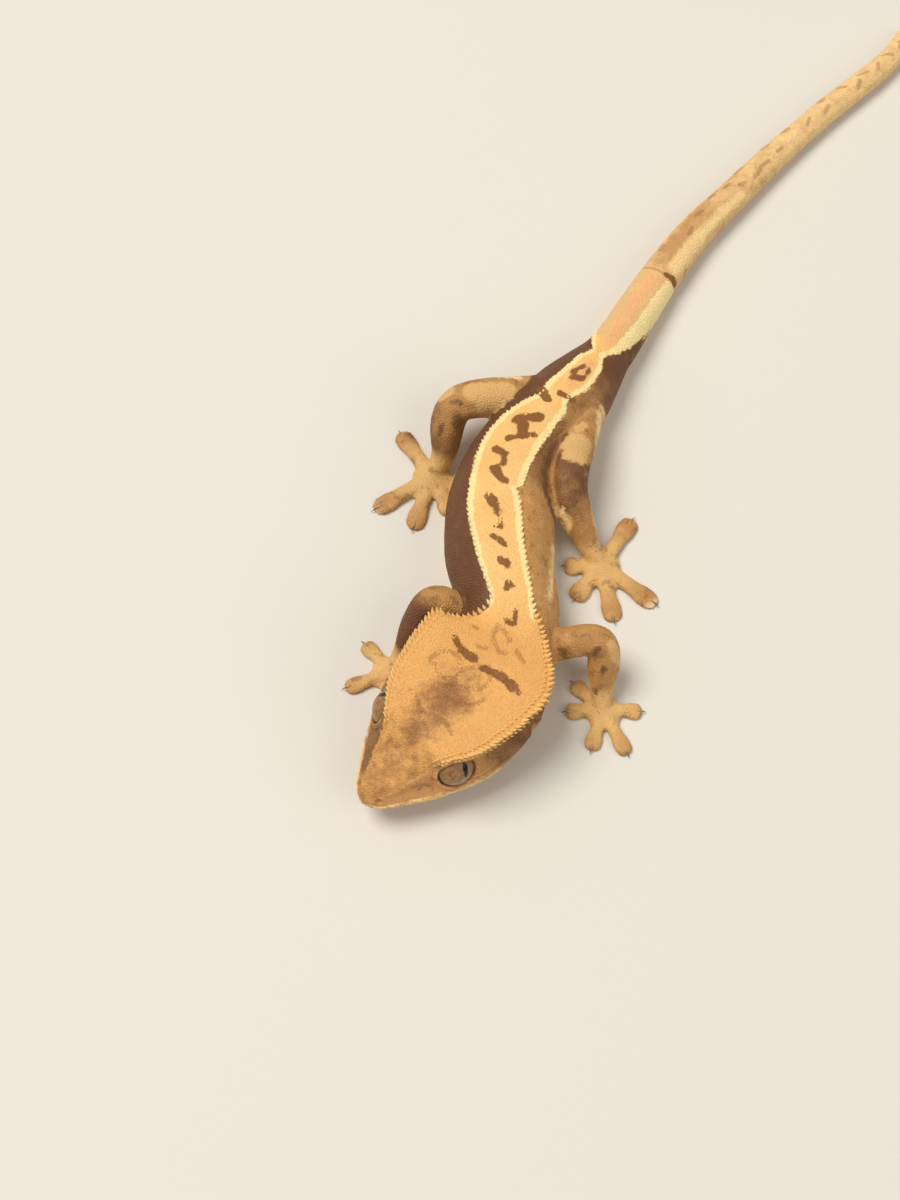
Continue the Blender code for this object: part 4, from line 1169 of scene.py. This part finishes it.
def scatterRoots(mesh, table):
    points, normals = meshPoints(mesh), meshNormals(mesh)
    corners = np.empty(len(mesh.polygons) * 3, np.int32)
    mesh.polygons.foreach_get("vertices", corners)
    corners = corners.reshape(-1, 3)
    a, b, c = (points[corners[:, k]] for k in range(3))
    area = 0.5 * np.linalg.norm(np.cross(b - a, c - a), axis=1)
    chance = np.random.default_rng(11)
    count = int(area.sum() / scaleSettings["area"] * scaleSettings["candidates"])
    face = chance.choice(len(area), count, p=area / area.sum())
    r1, r2 = np.sqrt(chance.random(count)), chance.random(count)
    share = np.stack([1 - r1, r1 * (1 - r2), r1 * r2], axis=1)
    roots = (points[corners[face]] * share[:, :, None]).sum(axis=1)
    out = unit((normals[corners[face]] * share[:, :, None]).sum(axis=1))
    _, info = markFields(roots, table)
    spacing = scaleSpacing(info)
    chosen = pickApart(roots, spacing, scaleRoom(roots, info))
    info = {name: info[name][chosen] for name in ("s", "u", "onLimb", "rise", "toHand")}
    limb = limbPlace(roots[chosen])
    info.update({"limbNumber": limb["limb"], "limbShare": limb["share"], "limbTurn": limb["turn"]})
    return roots[chosen], out[chosen], spacing[chosen], info


def domeShells(roots, normals, spacing, height, chance, columns=5):
    # one low dome for each root: an outer ring sunk in the skin, an inner ring and a top
    count = len(roots)
    side = unit(np.cross(normals, np.where(np.abs(normals[:, 2:]) < 0.8, [[0, 0, 1.0]], [[1.0, 0, 0]])))
    over = np.cross(normals, side)
    start = chance.random(count) * math.tau
    size = spacing * (0.6 + 0.05 * chance.standard_normal(count).clip(-1.5, 1.5))
    rings = []
    for share, lift in ((1.0, -0.04), (0.68, 0.72)):
        for k in range(columns):
            angle = start + math.tau * (k + 0.5 * (share < 1)) / columns
            flat = np.cos(angle)[:, None] * side + np.sin(angle)[:, None] * over
            up = height * lift if share < 1 else np.full(count, lift)
            rings.append(roots + (size * share)[:, None] * flat + up[:, None] * normals)
    rings.append(roots + height[:, None] * normals)
    points = np.stack(rings, axis=1)
    patch = []
    for share, shift in ((1.0, 0), (0.6, 0.5)):
        turns = [math.tau * (k + shift) / columns for k in range(columns)]
        patch += [(share * math.cos(turn), share * math.sin(turn)) for turn in turns]
    patch = np.array(patch + [(0, 0)])
    faces = []
    for k in range(columns):
        m = (k + 1) % columns
        faces += [(k, m, columns + k), (m, columns + m, columns + k), (columns + k, columns + m, 2 * columns)]
    return points, np.array(faces), patch


def coatMap(info, region):
    # where a root lies on an unwrap of the skin, from 0 to 1 each way
    if region == "limb":
        along = info["limbNumber"] + info["limbShare"]
        return np.stack([0.02 + 0.24 * along, 0.02 + 0.96 * info["limbTurn"]], axis=1)
    s, u = info["s"], info["u"]
    z = info["rise"] * smoothAt(rails["top"], s)
    turn = np.arctan2(u, z - middleHeight(s)) / math.tau + 0.5
    low, high = float(s.min()), float(s.max())
    return np.stack([0.01 + 0.98 * (s - low) / (high - low), 0.01 + 0.98 * turn], axis=1)


def coatPiece(name, points, faces, patch, spots, fields, material, grain):
    # points (count, each, 3); faces of one; patch (each, 2) for the map; fields by root
    count, each = points.shape[:2]
    allFaces = (faces[None] + (np.arange(count) * each)[:, None, None]).reshape(-1, faces.shape[1])
    mesh = bpy.data.meshes.new(name)
    flat = inFrame(points.reshape(-1, 3)).astype(np.float32)
    mesh.vertices.add(len(flat))
    mesh.vertices.foreach_set("co", flat.ravel())
    corners = allFaces.ravel().astype(np.int32)
    mesh.loops.add(len(corners))
    mesh.loops.foreach_set("vertex_index", corners)
    mesh.polygons.add(len(allFaces))
    mesh.polygons.foreach_set("loop_start", (np.arange(len(allFaces)) * faces.shape[1]).astype(np.int32))
    mesh.update(calc_edges=True)
    mesh.validate()
    uv = (spots[:, None, :] + 0.0015 * patch[None]).reshape(-1, 2)
    layer = mesh.uv_layers.new(name="OFBake")
    layer.uv.foreach_set("vector", uv[corners].astype(np.float32).ravel())
    for key, values in fields.items():
        storeField(mesh, key, values if len(values) == count * each else np.repeat(values, each))
    storeField(mesh, "grain", np.repeat(grain, each))
    mesh.materials.append(material)
    mesh.shade_smooth()
    made = bpy.data.objects.new(name, mesh)
    bpy.context.scene.collection.objects.link(made)
    print(name + ":", count, "pieces,", len(mesh.polygons), "faces")
    return made


def makeScales(skin, table, material):
    roots, normals, spacing, info = scatterRoots(skin.data, table)
    limb = info["onLimb"] > 0.5
    arms = limb & (info["limbNumber"] < 2)
    s, ends = info["s"], scaleSettings["pieceEnds"]
    regions = {
        "headScales": (~limb & (s < ends["head"]), "head_skin", "trunk"),
        "shoulderScales": (~limb & (s >= ends["head"]) & (s < ends["shoulder"]), "body_skin", "trunk"),
        "hipScales": (~limb & (s >= ends["shoulder"]) & (s < ends["hip"]), "body_skin", "trunk"),
        "tailScales": (~limb & (s >= ends["hip"]), "tail_skin", "trunk"),
        "armScales": (arms, "limb_skin", "limb"),
        "legScales": (limb & ~arms, "limb_skin", "limb"),
    }
    chance = np.random.default_rng(23)
    for name, (chosen, slot, region) in regions.items():
        height = scaleSettings["height"] * spacing[chosen]
        height = height * np.where(info["rise"][chosen] < scaleSettings["underside"], 0.6, 1.0)
        points, faces, patch = domeShells(roots[chosen], normals[chosen], spacing[chosen], height, chance)
        part = {key: values[chosen] for key, values in info.items()}
        marks, _ = markFields(points.reshape(-1, 3), table)
        piece = coatPiece(name, points, faces, patch, coatMap(part, region), marks, material,
                          chance.random(int(chosen.sum())))
        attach(piece, "root")


# The crest: rows of pointed scales from above each eye to the hips.
crestSettings = {
    # distance behind the snout tip, length, spacing
    "rows": [(9.6, 0.42, 0.6), (13, 0.75, 0.66), (18, 0.92, 0.74), (26, 0.95, 0.76), (34, 0.72, 0.78),
             (46, 0.58, 0.8), (58, 0.4, 0.8), (72, 0.26, 0.8), (84, 0.16, 0.9)],
    "turns": [(1.0, 1.0), (0.85, 0.42), (1.13, 0.5)],  # place round the ring, share of the length
    "sideRowsEnd": 31.0,
    "radius": 0.29,
    "sink": 0.25,
    "lean": 0.3,
    "outward": 0.5,
    "levels": [0.0, 0.3, 0.6, 0.85],
    "columns": 7,
}


def stripeTurn(s, side):
    # the place round the ring, in steps from the back, where the stripe's edge runs
    if s < 31:
        return 1.0
    turns = np.linspace(0.2, 1.9, 60)
    ring = trunkPoints(np.full(60, s), turns if side > 0 else 10 - turns)
    centre, _, left = frameAt(s)
    out = np.abs((ring - centre) @ left)
    edge = float(smoothAt(stripeMarks["left" if side > 0 else "right"], s)) - 0.15
    share = float(smoothStep(31, 36, s))
    return 1.0 - share + share * float(np.interp(edge, out, turns))


def crestRoots():
    found = []
    chance = random.Random(5)
    gaps = [(s, gap) for s, _, gap in crestSettings["rows"]]
    sizes = [(s, size) for s, size, _ in crestSettings["rows"]]
    for side in (1, -1):
        for number, (turn, share) in enumerate(crestSettings["turns"]):
            s = crestSettings["rows"][0][0] + 0.35 * number
            while s < (crestSettings["rows"][-1][0] if number == 0 else crestSettings["sideRowsEnd"]):
                edge = stripeTurn(s, side)
                place = turn * edge if side > 0 else 10 - turn * edge
                size = float(smoothAt(sizes, s)) * share * chance.uniform(0.8, 1.15)
                found.append((s, place + chance.uniform(-0.015, 0.015), size))
                step = trunkPoints([s, s + 0.2], np.array([place, place]))
                ahead = np.linalg.norm(step[1] - step[0]) / 0.2
                s += float(smoothAt(gaps, s)) * chance.uniform(0.85, 1.15) / max(ahead, 0.5)
    return np.array(found)


def spikeShells(roots, along, out, length, radius, levels, columns, sink, lean, curl=0.2):
    # curved cones: rings up a leaning axis and a point
    aim = unit(out + lean * along)
    side = unit(np.cross(aim, along))
    front = np.cross(side, aim)
    rings, patch = [], []
    for level in levels:
        middle = roots + (level * length)[:, None] * aim + (curl * level ** 2 * length)[:, None] * front
        if level == levels[0]:
            middle = roots - sink * out
        wide = radius * (1 - level) ** 0.85
        for k in range(columns):
            angle = math.tau * k / columns
            rings.append(middle + wide[:, None] * (math.cos(angle) * front * 1.25 + math.sin(angle) * side))
            patch.append(((1 - 0.9 * level) * math.cos(angle), (1 - 0.9 * level) * math.sin(angle)))
    rings.append(roots + length[:, None] * aim + (curl * length)[:, None] * front)
    patch.append((0, 0))
    faces = []
    top = len(levels) * columns
    for row in range(len(levels) - 1):
        for k in range(columns):
            m = (k + 1) % columns
            a, b = row * columns + k, row * columns + m
            faces += [(a, b, b + columns), (a, b + columns, a + columns)]
    last = (len(levels) - 1) * columns
    faces += [(last + k, last + (k + 1) % columns, top) for k in range(columns)]
    return np.stack(rings, axis=1), np.array(faces), np.array(patch)


def makeCrest(table, material):
    cfg = crestSettings
    found = crestRoots()
    s, turn, size = found.T
    roots = trunkPoints(s, turn)
    along = unit(trunkPoints(s + 0.3, turn) - trunkPoints(s - 0.3, turn))
    out = unit(trunkPoints(s, turn, 1.0) - roots)
    _, _, left = trunkFrame(s)
    out = unit(out + cfg["outward"] * np.where(turn < 5, 1, -1)[:, None] * left)
    radius = cfg["radius"] * np.clip(size / 0.8, 0.6, 1.1)
    points, faces, patch = spikeShells(roots, along, out, size, radius, cfg["levels"], cfg["columns"],
                                       cfg["sink"], cfg["lean"])
    fields, info = markFields(roots, table)
    fields["topField"] = np.full(len(s), 1.2)
    fields["pinField"] = np.interp(s, [31.5, 36], [-0.5, 0.5])
    fields["crownShade"] = np.zeros(len(s))
    fields["blotch"] = fields["blotch"] * 0 - 5
    info = {name: info[name] for name in ("s", "u", "rise")}
    chance = np.random.default_rng(3)
    piece = coatPiece("crestSpines", points, faces, patch, coatMap(info, "trunk"), fields, material,
                      chance.random(len(s)))
    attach(piece, "root")


# Lip plates, the rows along both lips.
lipSettings = {
    "upper": {"from": 2.66, "to": 2.955, "length": (0.9, 1.5), "height": 0.15},
    "lower": {"from": 3.045, "to": 3.34, "length": (1.0, 1.6), "height": 0.14},
    "start": 0.7,
    "end": 17.6,
    "columns": 6,
    "rows": 4,
}


def plateShell(s0, s1, turn0, turn1, height):
    # a rounded plate that follows the trunk between two places and two turns
    cols, rows = lipSettings["columns"], lipSettings["rows"]
    a, b = np.meshgrid(np.linspace(-1, 1, cols + 1), np.linspace(-1, 1, rows + 1), indexing="ij")
    s = (s0 + s1) / 2 + a * (s1 - s0) / 2 * 0.97
    turn = (turn0 + turn1) / 2 + b * (turn1 - turn0) / 2 * 0.95
    dome = (1 - np.abs(a) ** 4) ** 0.5 * (1 - np.abs(b) ** 4) ** 0.5
    base = trunkPoints(s, turn)
    out = (trunkPoints(s, turn, 0.1) - base) / 0.1
    relief = trunkRelief(s, turn).ravel()
    upper = base + out * (relief + height * dome.ravel() - 0.05)[:, None]
    lower = base + out * (relief - 0.2)[:, None]
    points = np.vstack([upper, lower])
    size = (cols + 1) * (rows + 1)
    faces = []
    for i in range(cols):
        for j in range(rows):
            k = i * (rows + 1) + j
            quad = (k, k + 1, k + rows + 2, k + rows + 1)
            faces += [quad, tuple(size + v for v in reversed(quad))]
    border = [i * (rows + 1) for i in range(cols + 1)]
    border += [cols * (rows + 1) + j for j in range(1, rows + 1)]
    border += [i * (rows + 1) + rows for i in range(cols - 1, -1, -1)]
    border += [j for j in range(rows - 1, 0, -1)]
    for v, w in zip(border, border[1:] + border[:1]):
        faces.append((v, w, size + w, size + v))
    grid = np.stack([a.ravel(), b.ravel()], axis=1)
    return points, faces, np.vstack([grid, grid * 0.9])


def makeLips(table, material):
    shells, spots = [], []
    for side in (1, -1):
        for row in ("upper", "lower"):
            cfg = lipSettings[row]
            s = lipSettings["start"]
            while s < lipSettings["end"]:
                share = s / bodyForm["mouthCorner"]
                length = cfg["length"][1] - (cfg["length"][1] - cfg["length"][0]) * share
                turns = (cfg["from"], cfg["to"])
                turns = turns if side > 0 else (10 - turns[1], 10 - turns[0])
                shells.append(plateShell(s, s + length, *turns, cfg["height"]))
                spots.append((0.05 + 0.9 * share, 0.1 + 0.2 * (side > 0) + 0.4 * (row == "upper")))
                s += length
    points, faces = joinShells([(p, f) for p, f, _ in shells])
    lips = meshObject("lipPlates", points, faces)
    facesOutward(lips)
    fields, _ = markFields(points, table)
    # the lip plates take a little less of the painted shade of the mouth's line
    fields["mouth"] = fields["mouth"] - 0.1
    for key, values in fields.items():
        storeField(lips.data, key, values)
    chance = np.random.default_rng(8)
    each = len(shells[0][0])
    storeField(lips.data, "grain", np.repeat(chance.random(len(shells)), each))
    patch = np.vstack([np.array(spot) + 0.0015 * grid for spot, (_, _, grid) in zip(spots, shells)])
    layer = lips.data.uv_layers.new(name="OFBake")
    corners = np.empty(len(lips.data.loops), np.int32)
    lips.data.loops.foreach_get("vertex_index", corners)
    layer.uv.foreach_set("vector", patch[corners].astype(np.float32).ravel())
    lips.data.materials.append(material)
    lips.data.shade_smooth()
    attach(lips, "root")
    print("lip plates:", len(shells))


# Small bead scales round each eye.
beadSettings = {"count": 44, "size": 0.4, "height": 0.13, "rows": [(0.0, 1.0), (0.5, 0.9)]}


def makeEyeBeads(table, material):
    roots, out, size = [], [], []
    chance = random.Random(13)
    for side in (1, -1):
        axis, across, over = eyeFrame(side)
        for row, (shift, share) in enumerate(beadSettings["rows"]):
            for k in range(beadSettings["count"]):
                angle = math.tau * (k + shift) / beadSettings["count"]
                outward = math.cos(angle) * across + math.sin(angle) * over
                lean = unit(axis * (1.0 - 0.7 * row) + outward * (0.15 + 0.8 * row))
                middle = eyeMiddle(side) + rimForm["out"] * axis + rimForm["radius"] * outward
                roots.append(middle + (rimForm["thick"] - 0.05) * lean)
                out.append(lean)
                size.append(share * chance.uniform(0.85, 1.15))
    roots, out, size = (np.array(v) for v in (roots, out, size))
    cfg = beadSettings
    points, faces, patch = domeShells(roots, out, size * cfg["size"], size * cfg["height"],
                                      np.random.default_rng(4), 6)
    fields, info = markFields(roots, table)
    # the beads round the eyes take none of the painted shade of the openings
    fields["mouth"] = np.full(len(roots), -1.0)
    fields["darkness"] = 0.6 * fields["darkness"]
    info = {name: info[name] for name in ("s", "u", "rise")}
    piece = coatPiece("eyeBeads", points, faces, patch, coatMap(info, "trunk"), fields, material,
                      np.random.default_rng(6).random(len(roots)))
    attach(piece, "root")


# Eyes: a lidless glossy globe with a patterned iris and an upright slit.
eyeSettings = {
    "pupil": (0.03, 0.75, 0.66),  # where it looks: back, out, up
    "slit": (0.3, -0.5, 0.55),  # the way the slit runs: back, out, up
    "slitHalf": 0.34, "slitLong": 1.45, "iris": 4.4,
    "tones": {"iris": (172, 130, 84), "vein": (88, 54, 28), "ring": (70, 44, 26), "pupil": (5, 4, 4)},
}


def headDirection(side, shares):
    _, back, left = frameAt(eyeForm["back"])
    return unit(shares[0] * back + side * shares[1] * left + shares[2] * np.array([0, 0, 1.0]))


def makeEye(side, name, material):
    axis = headDirection(side, eyeSettings["pupil"])
    across = unit(np.cross(headDirection(side, eyeSettings["slit"]), axis))
    over = np.cross(axis, across)
    tilts = np.linspace(0.02, math.pi - 0.02, 64)
    turns = np.linspace(0, math.tau, 96, endpoint=False)[:, None]
    rings, fieldX, fieldY = [], [], []
    for tilt in tilts:
        bulge = 0.1 * math.exp(-(tilt / 0.6) ** 2)
        radius = eyeForm["radius"] - 0.02 + bulge
        x, y = math.sin(tilt) * np.cos(turns), math.sin(tilt) * np.sin(turns)
        rings.append(eyeMiddle(side) + radius * (math.cos(tilt) * axis + x * across + y * over))
        spread = tilt / max(math.sin(tilt), 1e-6) * eyeForm["radius"]
        fieldX.append((x * spread).ravel())
        fieldY.append((y * spread).ravel())
    points, faces = closedLoft(rings)
    eye = meshObject(name, points, faces)
    facesOutward(eye)
    storeField(eye.data, "irisX", np.concatenate([*fieldX, [0.0, 9.0]]))
    storeField(eye.data, "irisY", np.concatenate([*fieldY, [0.0, 9.0]]))
    eye.data.materials.append(material)
    eye.data.shade_smooth()
    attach(eye, "root")
    return eye


def eyeMaterial():
    made, tree, shader = newMaterial("eyeGlobe")
    cfg = eyeSettings
    tone = {name: screenTone(value) for name, value in cfg["tones"].items()}
    x, y = readField(tree, "irisX"), readField(tree, "irisY")
    place = addNode(tree, "ShaderNodeCombineXYZ", {0: x, 1: y}).outputs[0]
    out = addNode(tree, "ShaderNodeVectorMath", {0: place}, operation="LENGTH").outputs["Value"]
    stretched = addNode(tree, "ShaderNodeCombineXYZ", {0: times(tree, x, 0.7), 1: y}).outputs[0]
    sockets = {"Vector": stretched, "Scale": 2.6}
    veins = addNode(tree, "ShaderNodeTexVoronoi", sockets, feature="DISTANCE_TO_EDGE").outputs["Distance"]
    veins = plus(tree, veins, times(tree, noiseAt(tree, place, 2.2, 4.0, 0.6), 0.12))
    veins = rampTo(tree, veins, 0.05, 0.13, 1.0, 0.0)
    iris = mixTone(tree, times(tree, veins, 0.75), tone["iris"], tone["vein"])
    cloudy = rampTo(tree, noiseAt(tree, place, 1.1, 3.0), 0.35, 0.7, 0.0, 0.5)
    iris = mixTone(tree, cloudy, iris, tone["vein"])
    colour = mixTone(tree, rampTo(tree, out, cfg["iris"] - 0.5, cfg["iris"] + 0.1), iris, tone["ring"])
    # the slit: its edge swells in small lobes
    lobes = times(tree, calc(tree, "SINE", times(tree, y, 5.2)), 0.05)
    share = calc(tree, "DIVIDE", y, cfg["slitLong"])
    half = times(tree, calc(tree, "SUBTRACT", 1.0, times(tree, share, share)), cfg["slitHalf"])
    gap = calc(tree, "SUBTRACT", plus(tree, half, lobes), calc(tree, "ABSOLUTE", x))
    inside = calc(tree, "MINIMUM", gap, calc(tree, "SUBTRACT", cfg["slitLong"], calc(tree, "ABSOLUTE", y)))
    colour = mixTone(tree, rampTo(tree, inside, -0.14, -0.02, 0.0, 0.6), colour, tone["ring"])
    colour = mixTone(tree, rampTo(tree, inside, -0.03, 0.03), colour, tone["pupil"])
    tree.links.new(colour, shader.inputs["Base Color"])
    shader.inputs["Roughness"].default_value = 0.3
    shader.inputs["Specular IOR Level"].default_value = 0.2
    shader.inputs["Coat Weight"].default_value = 0.5
    shader.inputs["Coat IOR"].default_value = 1.36
    shader.inputs["Coat Roughness"].default_value = 0.03
    return made


# Claws at the tip of every digit.
clawSettings = {
    "radius": 0.27, "reach": 0.66, "levels": [0.0, 0.25, 0.5, 0.75, 0.92], "columns": 9,
    "root": 0.86,  # as a share of the digit
    "tipShare": 0.14,
    "up": 0.72, "drop": 0.52, "arch": 0.28, "narrow": 0.8,
    "tones": [(196, 158, 108), (70, 48, 30)],
}


def makeClaws(material):
    cfg = clawSettings
    roots, aims = [], []
    for limb in limbForm.values():
        palm = np.array([*limb["palm"], 0.0])
        for direction, length in limb["digits"]:
            turned = math.radians(direction)
            ahead = np.array([math.cos(turned), math.sin(turned), 0])
            roots.append(palm + cfg["root"] * length * ahead + np.array([0, 0, cfg["up"]]))
            aims.append((cfg["tipShare"] * length + cfg["reach"]) * ahead - np.array([0, 0, cfg["drop"]]))
    shells = []
    for root, aim in zip(roots, aims):
        across = unit(np.cross(aim, [0, 0, 1.0]))
        over = unit(np.cross(across, aim))
        turn = np.linspace(0, math.tau, cfg["columns"], endpoint=False)[:, None]
        flat = np.cos(turn) * across * cfg["narrow"] + np.sin(turn) * over
        rings = []
        for level in cfg["levels"]:
            arch = np.array([0, 0, cfg["arch"] * math.sin(math.pi * level)])
            rings.append(root + level * aim + arch + cfg["radius"] * (1 - level) ** 0.8 * flat)
        shells.append(closedLoft(rings, None, root + aim))
    points, faces = joinShells(shells)
    claws = meshObject("claws", points, faces)
    facesOutward(claws)
    claws.data.materials.append(material)
    claws.data.shade_smooth()
    toTip = np.concatenate([np.repeat(cfg["levels"], cfg["columns"]), [0, 1]])
    storeField(claws.data, "tip", np.tile(toTip, len(shells)))
    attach(claws, "root")
    print("claws:", len(shells))


def clawMaterial():
    made, tree, shader = newMaterial("clawHorn")
    base, tip = (screenTone(tone) for tone in clawSettings["tones"])
    colour = mixTone(tree, rampTo(tree, readField(tree, "tip"), 0.1, 0.9), base, tip)
    tree.links.new(colour, shader.inputs["Base Color"])
    shader.inputs["Roughness"].default_value = 0.28
    shader.inputs["Coat Weight"].default_value = 0.3
    return made


# Floor, light and camera.
stageSettings = {
    "floorHalf": 8.0, "floorTone": (226, 222, 214),
    "elevation": 67.0, "distance": 240.0, "lens": 50.4, "sensor": 36.0, "aim": (0.0, 0.0, 8.0),
    "key": {"place": (-1.0, 0.4, 2.2), "size": 1.4, "watts": 48.0, "tone": (1.0, 0.955, 0.885)},
    "fill": {"place": (1.6, -1.0, 1.6), "size": 2.0, "watts": 13.0, "tone": (1.0, 0.97, 0.92)},
    "world": 0.33,
}


def makeStage():
    half = stageSettings["floorHalf"]
    mesh = bpy.data.meshes.new("floor")
    corners = [(x * half, y * half, 0) for x, y in ((-1, -1), (1, -1), (1, 1), (-1, 1))]
    mesh.from_pydata(corners, [], [(0, 1, 2, 3)])
    floor = bpy.data.objects.new("floor", mesh)
    bpy.context.scene.collection.objects.link(floor)
    made, _, shader = newMaterial("paleFloor")
    shader.inputs["Base Color"].default_value = screenTone(stageSettings["floorTone"])
    shader.inputs["Roughness"].default_value = 0.75
    mesh.materials.append(made)
    for name in ("key", "fill"):
        cfg = stageSettings[name]
        light = bpy.data.lights.new(name, "AREA")
        light.shape = "DISK"
        light.size = cfg["size"]
        light.energy = cfg["watts"]
        light.color = cfg["tone"]
        lamp = bpy.data.objects.new(name, light)
        lamp.location = cfg["place"]
        lamp.rotation_euler = (-Vector(cfg["place"])).to_track_quat("-Z", "Y").to_euler()
        bpy.context.scene.collection.objects.link(lamp)
    world = bpy.data.worlds.new("studio")
    world.use_nodes = True
    world.node_tree.nodes["Background"].inputs["Color"].default_value = (1.0, 0.98, 0.95, 1)
    world.node_tree.nodes["Background"].inputs["Strength"].default_value = stageSettings["world"]
    bpy.context.scene.world = world
    bpy.context.scene.view_settings.view_transform = "Standard"


def makeCamera():
    cfg = stageSettings
    high = math.radians(cfg["elevation"])
    aim = np.array(cfg["aim"])
    place = aim + cfg["distance"] * np.array([0, -math.cos(high), math.sin(high)])
    data = bpy.data.cameras.new("camera")
    data.sensor_fit = "VERTICAL"
    data.sensor_height = cfg["sensor"]
    data.lens = cfg["lens"]
    data.clip_start = 0.01
    camera = bpy.data.objects.new("camera", data)
    camera.location = inFrame(place)
    camera.rotation_euler = (math.radians(90 - cfg["elevation"]), 0, 0)
    bpy.context.scene.collection.objects.link(camera)
    bpy.context.scene.camera = camera


makeStage()
makeCamera()
markings = makeMarkingsGroup()
granules = makeGrainGroup()
skinMat, scaleMat, crestMat = (skinMaterial(name, markings, granules) for name in coverSettings)
print("materials made")

skin = makeSkin()
ringRadii = ringTable()
skinFields, _ = markFields(meshPoints(skin.data), ringRadii)
for fieldName, fieldValues in skinFields.items():
    storeField(skin.data, fieldName, fieldValues)
storeField(skin.data, "grain", np.full(len(skin.data.vertices), 0.3))
skin.data.materials.append(skinMat)
print("markings laid on the skin")

makeScales(skin, ringRadii, scaleMat)
makeCrest(ringRadii, crestMat)
makeLips(ringRadii, scaleMat)
makeEyeBeads(ringRadii, crestMat)
movePoints(skin.data, inFrame(meshPoints(skin.data)))
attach(skin, "root")
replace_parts(skin, *[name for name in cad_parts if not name.startswith("eye")])

globe = eyeMaterial()
for eyeSide, eyeName in ((1, "eye_left"), (-1, "eye_right")):
    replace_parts(makeEye(eyeSide, "globe_" + eyeName[4:], globe), eyeName)
makeClaws(clawMaterial())
print("gecko dressed")
